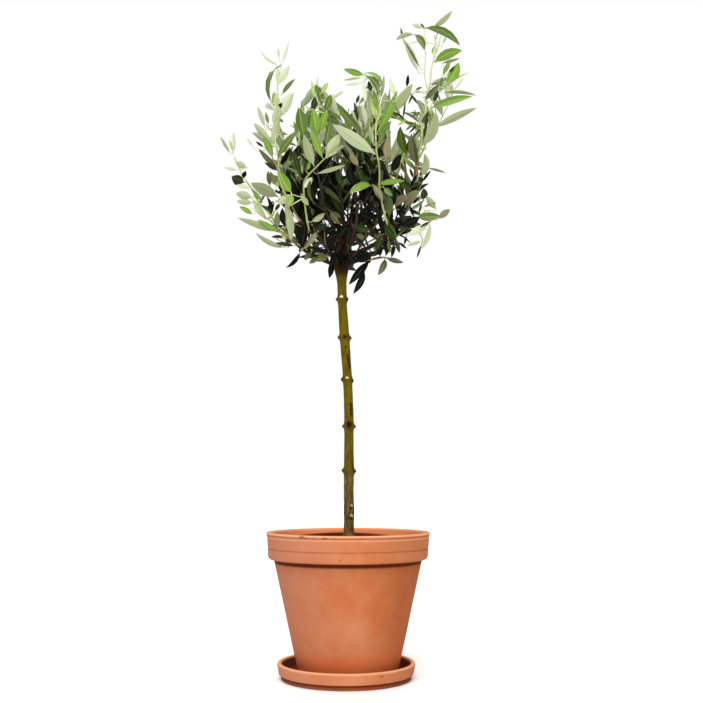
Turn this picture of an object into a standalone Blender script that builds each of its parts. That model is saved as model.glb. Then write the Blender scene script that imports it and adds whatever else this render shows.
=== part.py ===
"""A young standard olive tree in a terracotta pot that stands in its saucer.

Metres, +Z up.  The origin is the centre of the saucer's flat underside, and the
floor is z = 0.  The pot's axis lies a little to the right of the saucer's axis,
and the tree stands on the pot's axis.

The tree is a trunk, boughs and masses of leaves.  Every limb of the crown is one
cubic curve from the trunk to the tip of a shoot.  Its first stretch is a bare
bough and the rest is the stem of a mass: twigs and pairs of leaves branch from
that stem by a seeded rule, and keep to the space that lies nearer to their own
limb than to any other.
"""

import math
import random
from collections import namedtuple

import bmesh
import bpy
import numpy as np
from mathutils import Vector
from mathutils.bvhtree import BVHTree

# ---------------------------------------------------------------- dimensions
GAP = 0.0003                    # clearance between touching solids
OBJECT_NAME = "potted_olive_tree"

# Saucer, a shallow turned dish
SAUCER_TOP_RADIUS = 0.0885
SAUCER_HEIGHT = 0.0204
SAUCER_WALL = 0.0058
SAUCER_FLOOR = 0.0055
SAUCER_FOOT_RADIUS = 0.0829
SAUCER_FOOT_HEIGHT = 0.0065
SAUCER_FOOT_STEP = 0.0028       # how far the wall overhangs the foot

# Pot, a tapered body under a broad rim band
POT_AXIS = (0.0023, 0.0)
POT_TOP = 0.1832
POT_BASE_RADIUS = 0.0628
POT_BODY_RADIUS = 0.0958        # just under the band
POT_BAND_RADIUS = 0.1030        # at the band's lower edge
POT_RIM_RADIUS = 0.1052
POT_BAND_HEIGHT = 0.0362
POT_GROOVE_DROP = 0.0212        # from the rim's top to the groove in the band
POT_GROOVE_DEPTH = 0.0008
POT_GROOVE_WIDTH = 0.0016
POT_LIP_BULGE = 0.0008
POT_LIP_HEIGHT = 0.0050
POT_WALL = 0.0078
POT_FLOOR = 0.0090
POT_DRAIN_RADIUS = 0.0090

# Soil, which fills the pot to just below its lip
SOIL_DROP = 0.0097

# Trunk: a slender stem that leans left as it rises, with a knuckle under the crown
TRUNK_FOOT_SHIFT = 0.0010       # the trunk stands this far right of the pot's axis
TRUNK_LEAN = 0.0100
TRUNK_LEAN_FROM = 0.320         # heights between which it leans
TRUNK_LEAN_TO = 0.535
TRUNK_BACK_SWING = 0.0110       # back to the right above the knuckle
KNUCKLE_HEIGHT = 0.540
TRUNK_TOP = 0.592
TRUNK_SIDES = 8
TRUNK_STEP = 0.014              # distance between the trunk's rings
FLARE_RADIUS = 0.0082
FLARE_HEIGHT = 0.012
STEM_RADIUS_LOW = 0.0067
STEM_RADIUS_HIGH = 0.0061
KNUCKLE_RADIUS = 0.0084
KNUCKLE_SPREAD = 0.014
TRUNK_TIP_RADIUS = 0.0048
KNOT_HEIGHTS = (0.262, 0.320, 0.381, 0.437, 0.488)
KNOT_SWELL = 0.0022
KNOT_LENGTH = 0.0045

# Limbs, twigs and leaves
LIMB_STEPS = 26                 # points on each limb's centre line
LIMB_LEAVE_ANGLE = 12           # degrees above level where a limb leaves the trunk
LIMB_RISE_HANDLE = 0.52         # share of the rise in the limb's upper handle
SEAT_START = 0.030              # from here a limb's root moves in to its seat on the trunk
BOUGH_SIDES = 6
BOUGH_STEP = 0.015              # distance between a bough's sections
END_STEP = 0.0015               # first and last section, which keep the ends square
BOUGH_RADIUS = 0.0025
STEM_START_RADIUS = 0.0018
STEM_TIP_RADIUS = 0.0008
TWIG_SIDES = 3
TWIG_RADIUS = 0.0010
TWIG_TIP_RADIUS = 0.0007
TWIG_LENGTH = 0.066
TWIG_STEPS = 3
TWIG_SPACING = 0.034            # between the twigs on a stem
TWIG_TURN = 137.5               # degrees that each twig stands round the stem from the last
STEM_STEP = 0.026               # distance between the sections of a stem
TRIANGLE_FULLNESS = 1.25        # widens a three-sided twig to the section of a round one
TWIG_ANGLE = 46                 # degrees between a twig and its stem
TWIG_LIFT = 0.75                # pull of a twig towards upright
NODE_SPACING = 0.0240           # between the pairs of leaves on a stem
LEAF_TRIES = 9                  # places that a leaf tries round its stem
LEAF_TRY_TURN = 47              # degrees between them
LEAF_SHRINK = 0.94              # how much shorter it gets each time
LEAF_LENGTH = 0.054
LEAF_SLIMNESS = 3.4             # length over width
LEAF_THICKNESS = 0.0010
LEAF_WIDEST = 0.46              # share of the length where a leaf is widest
PETIOLE_RADIUS = 0.0006
LEAF_ANGLE = 44                 # degrees between a leaf and its stem
LEAF_ANGLE_NEAR_TIP = 26
LAST_LEAF_ANGLE = 6
LEAF_ROOM = 0.0085              # least distance between the middles of two leaves
SPACE_MARGIN = 0.0013           # how much nearer to its own limb a leaf stays
LIMB_CLEARANCE = 0.0030
DROOP_BELOW = 0.600             # leaves under this height hang
DROOP_RANGE = 0.070
CROWN_LOW = (-0.171, -0.150, 0.4955)
CROWN_HIGH = (0.1745, 0.152, 0.8895)
BOWL_FLAT = 0.016               # the crown's underside rises outwards from this far out
BOWL_SLOPE = 0.68
FUSED_SHARES = (0.62, 0.70, 0.80, 0.90)   # share of its triangles that thinning keeps
SEED = 41

# One row for each limb.  azimuth: degrees anticlockwise from +X, seen from above.
# reach: distance of the tip from the knuckle's axis.  tip: height of the tip.
# start: height on the trunk.  sweep: how much of the reach it runs out before it
# turns up.  arrive: angle of its tip above level.  bare: share that is a bough,
# where 0 is a stem that springs from the trunk itself.
Limb = namedtuple("Limb", "name azimuth reach tip start sweep arrive bare")
LIMBS = (
    Limb("crest", -5, 0.131, 0.855, 0.548, 0.80, 82, 0.22),
    Limb("shoulder", 14, 0.157, 0.782, 0.572, 0.75, 76, 0.24),
    Limb("right_arm", -14, 0.118, 0.602, 0.534, 0.45, 30, 0.26),
    Limb("right_middle", 38, 0.122, 0.650, 0.549, 0.55, 52, 0.22),
    Limb("right_front", -46, 0.116, 0.662, 0.562, 0.60, 62, 0.28),
    Limb("centre_top", 52, 0.040, 0.782, 0.590, 0.35, 88, 0.16),
    Limb("front_centre", -70, 0.094, 0.704, 0.548, 0.60, 76, 0.26),
    Limb("front_left", -112, 0.092, 0.680, 0.562, 0.60, 78, 0.26),
    Limb("left_top", 158, 0.066, 0.762, 0.584, 0.60, 90, 0.22),
    Limb("upper_left", 186, 0.085, 0.796, 0.562, 0.88, 97, 0.24),
    Limb("left_arm", 180, 0.146, 0.682, 0.546, 0.50, 62, 0.28),
    Limb("left_low", 197, 0.122, 0.604, 0.533, 0.45, 28, 0.26),
    Limb("left_front", 222, 0.112, 0.640, 0.550, 0.55, 58, 0.24),
    Limb("back_right", 56, 0.116, 0.724, 0.562, 0.65, 78, 0.26),
    Limb("back_left", 126, 0.112, 0.740, 0.564, 0.65, 80, 0.26),
    Limb("back_centre", 90, 0.118, 0.664, 0.549, 0.60, 66, 0.26),
    Limb("inner_front", -98, 0.044, 0.712, 0.578, 0.90, 86, 0.0),
    Limb("inner_right", -28, 0.070, 0.728, 0.584, 0.80, 82, 0.0),
    Limb("inner_left", 184, 0.060, 0.664, 0.576, 0.80, 80, 0.0),
    Limb("inner_back", 84, 0.060, 0.676, 0.576, 0.80, 80, 0.0),
    Limb("front_skirt_right", -58, 0.082, 0.570, 0.535, 0.45, 10, 0.0),
    Limb("front_skirt_left", -118, 0.082, 0.572, 0.534, 0.45, 10, 0.0),
    Limb("back_skirt_right", 60, 0.098, 0.588, 0.535, 0.45, 22, 0.0),
    Limb("back_skirt_left", 146, 0.100, 0.592, 0.535, 0.45, 22, 0.0),
    Limb("back_skirt", 102, 0.092, 0.580, 0.533, 0.42, 16, 0.0),
)

# Colours (linear RGB) and roughness of each kind of part
TERRACOTTA = ((0.68, 0.24, 0.115), 0.85)
SOIL_BROWN = ((0.045, 0.028, 0.018), 0.95)
OLIVE_BARK = ((0.150, 0.125, 0.030), 0.70)
BOUGH_BARK = ((0.130, 0.085, 0.040), 0.75)
LEAF_GREEN = ((0.120, 0.200, 0.060), 0.55)


# ------------------------------------------------------------------- helpers
def clear_scene():
    """Remove every object that the scene holds."""
    for item in list(bpy.data.objects):
        bpy.data.objects.remove(item, do_unlink=True)


def make_material(name, finish):
    """Return a Principled material of one colour and roughness."""
    colour, roughness = finish
    material = bpy.data.materials.new(name)
    material.use_nodes = True
    shader = material.node_tree.nodes["Principled BSDF"]
    shader.inputs["Base Color"].default_value = (*colour, 1.0)
    shader.inputs["Roughness"].default_value = roughness
    shader.inputs["Metallic"].default_value = 0.0
    return material


def add_object(name, data, collection, material=None):
    """Put new object data in a collection and return its object."""
    item = bpy.data.objects.new(name, data)
    collection.objects.link(item)
    if material is not None:
        data.materials.append(material)
    return item


def evaluated_mesh(item):
    """Return a new mesh of an object as its modifiers and bevel leave it."""
    bpy.context.view_layer.update()
    graph = bpy.context.evaluated_depsgraph_get()
    return bpy.data.meshes.new_from_object(item.evaluated_get(graph))


def smoothstep(value):
    """Ease from 0 to 1 as value runs from 0 to 1."""
    value = min(1.0, max(0.0, value))
    return value * value * (3.0 - 2.0 * value)


def mix(low, high, share):
    """Return the value that lies a share of the way from low to high."""
    return low + (high - low) * share


def arc(centre, radius, start, end, steps):
    """Return points (x, z) on an arc between two angles in degrees."""
    angles = [math.radians(mix(start, end, step / steps)) for step in range(steps + 1)]
    return [(centre[0] + radius * math.cos(a), centre[1] + radius * math.sin(a)) for a in angles]


def turned(name, profile, axis, segments, collection, material):
    """Turn a profile of (radius, height) points round a vertical axis with a Screw."""
    mesh = bpy.data.meshes.new(name)
    points = [(radius, 0.0, height) for radius, height in profile]
    closed = profile[0][0] > 0.0
    edges = [(index, index + 1) for index in range(len(points) - 1)]
    if closed:
        edges.append((len(points) - 1, 0))
    mesh.from_pydata(points, edges, [])
    item = add_object(name, mesh, collection, material)
    item.location = (axis[0], axis[1], 0.0)
    screw = item.modifiers.new("Turn", "SCREW")
    screw.axis = "Z"
    screw.angle = math.tau
    screw.steps = segments
    screw.render_steps = segments
    screw.use_merge_vertices = True
    screw.merge_threshold = 1e-5
    screw.use_smooth_shade = True
    return item


def polygon_outline(sides):
    """Return a guide curve that is a regular polygon of radius 1."""
    name = f"outline_{sides}"
    if name in bpy.data.objects:
        return bpy.data.objects[name]
    data = bpy.data.curves.new(name, "CURVE")
    data.dimensions = "2D"
    spline = data.splines.new("POLY")
    spline.points.add(sides - 1)
    for index, point in enumerate(spline.points):
        angle = math.tau * index / sides
        point.co = (math.cos(angle), math.sin(angle), 0.0, 1.0)
    spline.use_cyclic_u = True
    guide = add_object(name, data, bpy.context.scene.collection)
    guide.hide_render = True
    return guide


def limb_mesh(name, points, radii, sides):
    """Return the closed mesh of a tapering limb along points, with flat ends."""
    data = bpy.data.curves.new(name, "CURVE")
    data.dimensions = "3D"
    data.bevel_mode = "OBJECT"
    data.bevel_object = polygon_outline(sides)
    data.use_fill_caps = True
    spline = data.splines.new("POLY")
    spline.points.add(len(points) - 1)
    for point, place, radius in zip(spline.points, points, radii):
        point.co = (*place, 1.0)
        point.radius = radius
    curve = add_object(name, data, bpy.context.scene.collection)
    mesh = evaluated_mesh(curve)
    bpy.data.objects.remove(curve, do_unlink=True)
    shell = bmesh.new()
    shell.from_mesh(mesh)
    bmesh.ops.remove_doubles(shell, verts=shell.verts, dist=1e-6)
    bmesh.ops.recalc_face_normals(shell, faces=shell.faces)
    shell.to_mesh(mesh)
    shell.free()
    mesh.name = name
    return mesh


# ------------------------------------------------------------ pot and saucer
def saucer_profile():
    """Return the saucer's outline, from its top lip down its outer side and back."""
    lip = SAUCER_WALL / 2.0
    foot_in = SAUCER_FOOT_RADIUS
    wall_foot = SAUCER_FOOT_RADIUS + SAUCER_FOOT_STEP
    inner_top = SAUCER_TOP_RADIUS - SAUCER_WALL
    lip_centre = (SAUCER_TOP_RADIUS - lip, SAUCER_HEIGHT - lip)
    outline = [(0.0, SAUCER_FLOOR)]
    outline += arc((inner_top - 0.0065, SAUCER_FLOOR + 0.005), 0.005, -90, -20, 3)
    outline += arc(lip_centre, lip, 180, 0, 6)
    outline += [(wall_foot, SAUCER_FOOT_HEIGHT + 0.0012), (wall_foot - 0.0012, SAUCER_FOOT_HEIGHT)]
    outline += [(foot_in, SAUCER_FOOT_HEIGHT), (foot_in, 0.0), (0.0, 0.0)]
    return outline


def pot_profile():
    """Return the pot's outline, from the rim's top down its outer side and back."""
    base = SAUCER_FLOOR + GAP
    band_foot = POT_TOP - POT_BAND_HEIGHT
    lip = POT_WALL / 2.0
    groove = POT_TOP - POT_GROOVE_DROP
    half = POT_GROOVE_WIDTH / 2.0
    band_slope = (POT_RIM_RADIUS - POT_BAND_RADIUS) / POT_BAND_HEIGHT

    def band_radius(height):
        return POT_BAND_RADIUS + band_slope * (height - band_foot)

    outline = [(POT_RIM_RADIUS - 0.0030, POT_TOP)]
    outline += arc((POT_RIM_RADIUS + POT_LIP_BULGE - 0.0030, POT_TOP - 0.0030), 0.0030, 70, 0, 3)
    outline += [(POT_RIM_RADIUS + POT_LIP_BULGE, POT_TOP - POT_LIP_HEIGHT),
                (band_radius(POT_TOP - POT_LIP_HEIGHT - 0.0012), POT_TOP - POT_LIP_HEIGHT - 0.0012)]
    outline += [(band_radius(groove + half), groove + half),
                (band_radius(groove) - POT_GROOVE_DEPTH, groove),
                (band_radius(groove - half), groove - half)]
    outline += arc((POT_BAND_RADIUS - 0.0015, band_foot + 0.0015), 0.0015, 0, -90, 2)
    outline += [(POT_BODY_RADIUS, band_foot), (POT_BASE_RADIUS + 0.0008, base + 0.0020),
                (POT_BASE_RADIUS - 0.0010, base)]
    outline += [(POT_DRAIN_RADIUS, base), (POT_DRAIN_RADIUS, base + POT_FLOOR)]
    outline += pot_cavity(base + POT_FLOOR)
    outline += arc((POT_RIM_RADIUS - POT_WALL + lip - 0.0009, POT_TOP - 0.0030), 0.0030, 180, 90, 3)
    return outline


def pot_cavity(floor):
    """Return the pot's inner wall as points from its floor up to below the lip."""
    corner = (POT_BASE_RADIUS - POT_WALL - 0.0045, floor + 0.0060)
    outline = arc(corner, 0.0060, -90, -15, 3)
    outline.append((POT_BODY_RADIUS - POT_WALL, POT_TOP - POT_BAND_HEIGHT))
    outline.append((POT_RIM_RADIUS - POT_WALL, POT_TOP - SOIL_DROP - 0.0080))
    return outline


def soil_profile(floor):
    """Return the soil's outline, which follows the cavity a gap inside it."""
    top = POT_TOP - SOIL_DROP
    outline = [(0.0, top)]
    outline.append((POT_RIM_RADIUS - POT_WALL - GAP - 0.0003, top))
    outline += [(radius - GAP - 0.0002, height + GAP) for radius, height in reversed(pot_cavity(floor))]
    outline.append((0.0, floor + GAP))
    return outline


# --------------------------------------------------------------------- trunk
def trunk_foot():
    """Return the height of the flat cut where the trunk meets the soil."""
    return POT_TOP - SOIL_DROP + GAP


def trunk_axis(height):
    """Return the trunk's centre at a height: an eased lean, then a swing back."""
    lean = smoothstep((height - TRUNK_LEAN_FROM) / (TRUNK_LEAN_TO - TRUNK_LEAN_FROM))
    swing = max(0.0, (height - KNUCKLE_HEIGHT) / (TRUNK_TOP - KNUCKLE_HEIGHT))
    across = POT_AXIS[0] + TRUNK_FOOT_SHIFT - TRUNK_LEAN * lean + TRUNK_BACK_SWING * swing
    return Vector((across, POT_AXIS[1], height))


def trunk_radius(height):
    """Return the trunk's radius: root flare, slow taper, knots and the knuckle."""
    above = height - trunk_foot()
    radius = mix(STEM_RADIUS_LOW, STEM_RADIUS_HIGH, smoothstep(above / 0.20))
    radius += (FLARE_RADIUS - STEM_RADIUS_LOW) * (1.0 - smoothstep(above / FLARE_HEIGHT))
    for knot in KNOT_HEIGHTS:
        radius += KNOT_SWELL * math.exp(-((height - knot) / KNOT_LENGTH) ** 2)
    if height < KNUCKLE_HEIGHT:
        grow = smoothstep(1.0 - (KNUCKLE_HEIGHT - height) / (2.0 * KNUCKLE_SPREAD))
        return mix(radius, KNUCKLE_RADIUS, grow)
    return mix(KNUCKLE_RADIUS, TRUNK_TIP_RADIUS, (height - KNUCKLE_HEIGHT) / (TRUNK_TOP - KNUCKLE_HEIGHT))


def trunk_heights():
    """Return the heights of the trunk's rings, with extra rings at each knot."""
    foot = trunk_foot()
    count = round((TRUNK_TOP - foot) / TRUNK_STEP)
    rings = {round(mix(foot, TRUNK_TOP, step / count), 5) for step in range(count + 1)}
    for knot in KNOT_HEIGHTS:
        near = {height for height in rings if abs(height - knot) < 1.6 * KNOT_LENGTH}
        rings -= near
        rings |= {round(knot + offset * KNOT_LENGTH, 5) for offset in (-1.5, -0.6, 0.6, 1.5)}
    rings.add(round(foot + 0.5 * FLARE_HEIGHT, 5))
    return sorted(rings)


def build_trunk(collection, material):
    """Make the trunk as one limb from the soil to its tip inside the crown."""
    heights = trunk_heights()
    points = [trunk_axis(height) for height in heights]
    radii = [trunk_radius(height) for height in heights]
    mesh = limb_mesh("trunk", points, radii, TRUNK_SIDES)
    mesh.shade_smooth()
    return add_object("trunk", mesh, collection, material)


# --------------------------------------------------------------------- limbs
def compass(azimuth, elevation):
    """Return the unit vector at an azimuth and an elevation in degrees."""
    turn = math.radians(azimuth)
    lift = math.radians(elevation)
    return Vector((math.cos(turn) * math.cos(lift), math.sin(turn) * math.cos(lift), math.sin(lift)))


def seat_on(surface, far, leave, radius):
    """Return where a limb's flat root comes to rest just clear of the trunk.

    Rays run back along the limb from points spread over its root, and the shortest
    of them tells how far the root can move in before it would touch.
    """
    across = side_of(leave, 0)
    raised = side_of(leave, 90)
    travel = []
    for share in (0.0, 0.5, 1.0):
        for step in range(8):
            angle = math.tau * step / 8
            spot = far + (across * math.cos(angle) + raised * math.sin(angle)) * (share * radius)
            distance = surface.ray_cast(spot, -leave)[3]
            if distance is not None:
                travel.append(distance)
    return far - leave * (min(travel) - GAP)


def limb_line(limb, surface):
    """Return the limb's centre line: a cubic curve read at even steps of length."""
    if limb.start > TRUNK_TOP - 0.003:
        leave = (trunk_axis(TRUNK_TOP) - trunk_axis(KNUCKLE_HEIGHT)).normalized()
    else:
        leave = compass(limb.azimuth, LIMB_LEAVE_ANGLE)
    radius = BOUGH_RADIUS if limb.bare else TRIANGLE_FULLNESS * STEM_START_RADIUS
    root = seat_on(surface, trunk_axis(limb.start) + leave * SEAT_START, leave, radius)
    centre = trunk_axis(KNUCKLE_HEIGHT)
    tip = Vector((centre.x, centre.y, limb.tip)) + compass(limb.azimuth, 0) * limb.reach
    low = root + leave * (limb.sweep * limb.reach)
    rise = max(0.045, limb.tip - limb.start)
    high = tip - compass(limb.azimuth, limb.arrive) * (LIMB_RISE_HANDLE * rise)
    fine = []
    for step in range(4 * LIMB_STEPS + 1):
        t = step / (4.0 * LIMB_STEPS)
        s = 1.0 - t
        fine.append(root * s ** 3 + low * (3 * s * s * t) + high * (3 * s * t * t) + tip * t ** 3)
    return even_steps(fine, LIMB_STEPS)


def even_steps(fine, steps):
    """Return a line's points again, spaced evenly along its length."""
    lengths = [0.0]
    for before, after in zip(fine, fine[1:]):
        lengths.append(lengths[-1] + (after - before).length)
    points = []
    index = 0
    for step in range(steps + 1):
        target = lengths[-1] * step / steps
        while index < len(fine) - 2 and lengths[index + 1] < target:
            index += 1
        span = lengths[index + 1] - lengths[index]
        points.append(fine[index].lerp(fine[index + 1], (target - lengths[index]) / span))
    return points


class Line:
    """A centre line of evenly spaced points, read by its distance from the root."""

    def __init__(self, points):
        self.points = points
        self.step = (points[1] - points[0]).length
        self.length = self.step * (len(points) - 1)

    def at(self, distance):
        """Return the point at a distance along the line."""
        place = min(max(distance / self.step, 0.0), len(self.points) - 1.0001)
        index = int(place)
        return self.points[index].lerp(self.points[index + 1], place - index)

    def along(self, distance):
        """Return the unit direction of the line at a distance."""
        half = 0.6 * self.step
        return (self.at(distance + half) - self.at(distance - half)).normalized()


def sections(start, end, step):
    """Return distances from start to end, with a short section at both ends."""
    count = max(2, round((end - start) / step))
    inner = [mix(start, end, index / count) for index in range(1, count)]
    return [start, start + END_STEP, *inner, end - END_STEP, end]


def build_bough(limb, line, collection, material):
    """Make the bare first stretch of a limb, up to where it enters its mass."""
    end = limb.bare * line.length
    distances = sections(0.0, end, BOUGH_STEP)
    points = [line.at(distance) for distance in distances]
    radii = [mix(BOUGH_RADIUS, STEM_START_RADIUS, distance / end) for distance in distances]
    name = f"bough_{limb.name}"
    mesh = limb_mesh(name, points, radii, BOUGH_SIDES)
    mesh.shade_smooth()
    return add_object(name, mesh, collection, material)


# -------------------------------------------------------------------- masses
def side_of(direction, turn):
    """Return a unit vector square to a direction, turned round it in degrees."""
    upright = Vector((0.0, 0.0, 1.0)) if abs(direction.z) < 0.9 else Vector((0.0, -1.0, 0.0))
    across = direction.cross(upright).normalized()
    raised = across.cross(direction).normalized()
    angle = math.radians(turn)
    return across * math.cos(angle) + raised * math.sin(angle)


def leaf_shape(root, direction, across, length):
    """Return a leaf as sections: a petiole, the widest section and a pointed tip."""
    normal = direction.cross(across).normalized()
    half = 0.5 * length / LEAF_SLIMNESS
    widest = root + direction * (LEAF_WIDEST * length)
    petiole = [root + (across * math.cos(a) + normal * math.sin(a)) * PETIOLE_RADIUS
               for a in (math.radians(210), math.radians(330), math.radians(90))]
    blade = [widest - across * half, widest + across * half, widest + normal * LEAF_THICKNESS]
    return petiole, blade, root + direction * length


def leaf_mesh(name, root, direction, across, length):
    """Return the closed mesh of a leaf, lofted through its three sections."""
    petiole, blade, tip = leaf_shape(root, direction, across, length)
    faces = [(0, 2, 1)]
    for side in range(3):
        other = (side + 1) % 3
        faces.append((side, other, 3 + other))
        faces.append((side, 3 + other, 3 + side))
        faces.append((3 + side, 3 + other, 6))
    mesh = bpy.data.meshes.new(name)
    mesh.from_pydata([*petiole, *blade, tip], [], faces)
    return mesh


def crown_floor(place):
    """Return how low the crown hangs at a place: a bowl that rises outwards."""
    centre = trunk_axis(KNUCKLE_HEIGHT)
    outward = math.hypot(place.x - centre.x, place.y - centre.y)
    return CROWN_LOW[2] + BOWL_SLOPE * max(0.0, outward - BOWL_FLAT)


class Space:
    """The room that each mass keeps to, and the leaves that already stand in it."""

    def __init__(self, lines):
        self.lines = [np.array([tuple(point) for point in line.points]) for line in lines]
        self.middles = []

    def distances(self, place):
        """Return how far a place lies from every limb's centre line."""
        spot = np.array(place)
        result = []
        for points in self.lines:
            spans = points[1:] - points[:-1]
            share = np.einsum("ij,ij->i", spot - points[:-1], spans) / np.einsum("ij,ij->i", spans, spans)
            feet = points[:-1] + spans * np.clip(share, 0.0, 1.0)[:, None]
            result.append(np.sqrt(((feet - spot) ** 2).sum(axis=1)).min())
        return np.array(result)

    def holds(self, places, own):
        """Tell whether all places lie in the crown and in the room of one limb."""
        for place in places:
            if any(place[axis] < CROWN_LOW[axis] or place[axis] > CROWN_HIGH[axis] for axis in range(3)):
                return False
            if place.z < crown_floor(place):
                return False
            height = min(max(place.z, trunk_foot()), TRUNK_TOP)
            if (place - trunk_axis(height)).length < trunk_radius(height) + LIMB_CLEARANCE:
                return False
            gaps = self.distances(place)
            others = np.delete(gaps, own)
            if gaps[own] + SPACE_MARGIN > others.min():
                return False
        return True

    def is_crowded(self, middle):
        """Tell whether another leaf's middle lies too near."""
        return any((middle - other).length < LEAF_ROOM for other in self.middles)


def blade_tree(inner, blade, tip):
    """Return the flat outline of a leaf beyond its petiole, for tests of crossing."""
    corners = [inner, blade[0], tip, blade[1]]
    return BVHTree.FromPolygons([tuple(corner) for corner in corners], [(0, 1, 3), (1, 2, 3)])


def line_tree(points):
    """Return a twig's line as a thin strip, for tests of crossing."""
    width = Vector((0.0004, 0.0004, 0.0))
    corners = [tuple(point) for point in points] + [tuple(point + width) for point in points]
    count = len(points)
    faces = [(step, step + 1, count + step + 1, count + step) for step in range(count - 1)]
    return BVHTree.FromPolygons(corners, faces)


class Mass:
    """One mass of leaves: a stem, its twigs and their pairs of leaves."""

    def __init__(self, index, limb, line, space):
        self.index = index
        self.limb = limb
        self.line = line
        self.space = space
        self.chance = random.Random(SEED + 17 * index)
        self.pieces = []
        self.outlines = []

    def grow(self):
        """Grow the stem, then its twigs, then the leaves on all of them."""
        start = self.limb.bare * self.line.length + (GAP if self.limb.bare else 0.0)
        span = self.line.length - start
        distances = sections(start, self.line.length, STEM_STEP)
        points = [self.line.at(distance) for distance in distances]
        radii = [mix(STEM_START_RADIUS, STEM_TIP_RADIUS, (distance - start) / span)
                 for distance in distances]
        self.add_limb(f"stem_{self.limb.name}", points, radii)
        twigs = []
        for node in range(int(span / TWIG_SPACING)):
            distance = start + (node + 0.6) * TWIG_SPACING
            turn = TWIG_TURN * node + self.chance.uniform(-25, 25)
            twigs.append(self.twig(distance, turn, (distance - start) / span))
        self.leaf_pairs(self.line, start + 0.35 * NODE_SPACING)
        for line in filter(None, twigs):
            self.leaf_pairs(line, 0.7 * NODE_SPACING)

    def add_limb(self, name, points, radii):
        """Keep a stem or twig as a piece to fuse, and its line for tests of crossing."""
        radii = [TRIANGLE_FULLNESS * radius for radius in radii]
        self.pieces.append(limb_mesh(name, points, radii, TWIG_SIDES))
        self.outlines.append(line_tree(points))

    def twig(self, distance, turn, share):
        """Grow one side twig that bends upwards, and return its line if it has room."""
        root = self.line.at(distance)
        stem = self.line.along(distance)
        side = side_of(stem, turn)
        angle = math.radians(TWIG_ANGLE + self.chance.uniform(-8, 8))
        heading = stem * math.cos(angle) + side * math.sin(angle)
        length = TWIG_LENGTH * mix(1.1, 0.6, share) * self.chance.uniform(0.8, 1.15)
        lift = TWIG_LIFT * smoothstep((root.z - DROOP_BELOW + DROOP_RANGE) / DROOP_RANGE)
        points = [root]
        for step in range(TWIG_STEPS):
            heading = (heading + Vector((0.0, 0.0, lift / TWIG_STEPS))).normalized()
            points.append(points[-1] + heading * (length / TWIG_STEPS))
        while len(points) > 1 and not self.space.holds(points[1:], self.index):
            points.pop()
        if len(points) == 1:
            return None
        steps = len(points) - 1
        radii = [mix(TWIG_RADIUS, TWIG_TIP_RADIUS, step / steps) for step in range(steps + 1)]
        self.add_limb(f"twig_{self.limb.name}", points, radii)
        return Line(points)

    def leaf_pairs(self, line, first):
        """Grow opposite leaves at each node, each pair square to the one before it."""
        turn = self.chance.uniform(0, 90)
        distance = first
        while distance < line.length - 0.4 * NODE_SPACING:
            near_tip = smoothstep((distance - line.length + 0.05) / 0.05)
            for face in (0.0, 180.0):
                self.leaf(line, distance, turn + face + self.chance.uniform(-14, 14), near_tip)
            turn += 90.0
            distance += NODE_SPACING * self.chance.uniform(0.85, 1.15)
        self.leaf(line, line.length - 0.0015, turn, 1.0, LAST_LEAF_ANGLE)

    def leaf(self, line, distance, turn, near_tip, least_angle=LEAF_ANGLE_NEAR_TIP):
        """Grow one leaf if it keeps to its room and crosses nothing of its mass."""
        root = line.at(distance)
        stem = line.along(distance)
        for attempt in range(LEAF_TRIES):
            side = side_of(stem, turn + attempt * LEAF_TRY_TURN)
            angle = math.radians(mix(LEAF_ANGLE, least_angle, near_tip) + self.chance.uniform(-8, 12))
            direction = stem * math.cos(angle) + side * math.sin(angle)
            hang = 1.0 - smoothstep((root.z - DROOP_BELOW + DROOP_RANGE) / DROOP_RANGE)
            direction = direction - Vector((0.0, 0.0, hang * self.chance.uniform(0.0, 0.9)))
            direction.normalize()
            across = direction.cross(side_of(direction, self.chance.uniform(40, 140))).normalized()
            length = LEAF_LENGTH * mix(1.0, 0.76, near_tip) * self.chance.uniform(0.86, 1.12)
            length *= LEAF_SHRINK ** attempt
            if self.place_leaf(root, direction, across, length):
                return

    def place_leaf(self, root, direction, across, length):
        """Keep a leaf as a piece to fuse if it has room, and tell whether it has."""
        blade, tip = leaf_shape(root, direction, across, length)[1:]
        middle = (blade[0] + blade[1]) / 2.0
        inner = root.lerp(middle, 0.4)
        if self.space.is_crowded(middle):
            return False
        if not self.space.holds([inner, blade[0], blade[1], middle.lerp(tip, 0.5), tip], self.index):
            return False
        outline = blade_tree(inner, blade, tip)
        if any(outline.overlap(other) for other in self.outlines):
            return False
        self.space.middles.append(middle)
        self.outlines.append(outline)
        self.pieces.append(leaf_mesh(f"leaf_{self.limb.name}", root, direction, across, length))
        return True

    def fuse(self, collection, material):
        """Join the stem, twigs and leaves into one solid and return its object."""
        name = f"foliage_{self.limb.name}"
        group = bpy.data.collections.new(f"{name}_pieces")
        bpy.context.scene.collection.children.link(group)
        for mesh in self.pieces[1:]:
            add_object(mesh.name, mesh, group)
        item = add_object(name, self.pieces[0], collection)
        union = item.modifiers.new("Fuse", "BOOLEAN")
        union.operation = "UNION"
        union.operand_type = "COLLECTION"
        union.collection = group
        union.solver = "EXACT"
        union.use_self = True
        fused = evaluated_mesh(item)
        item.modifiers.remove(union)
        item.data = fused
        for piece in list(group.objects):
            bpy.data.objects.remove(piece, do_unlink=True)
        bpy.data.collections.remove(group)
        keep_outer_shell(fused)
        thin(item)
        fused = item.data
        fused.materials.clear()
        fused.materials.append(material)
        return item


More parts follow.
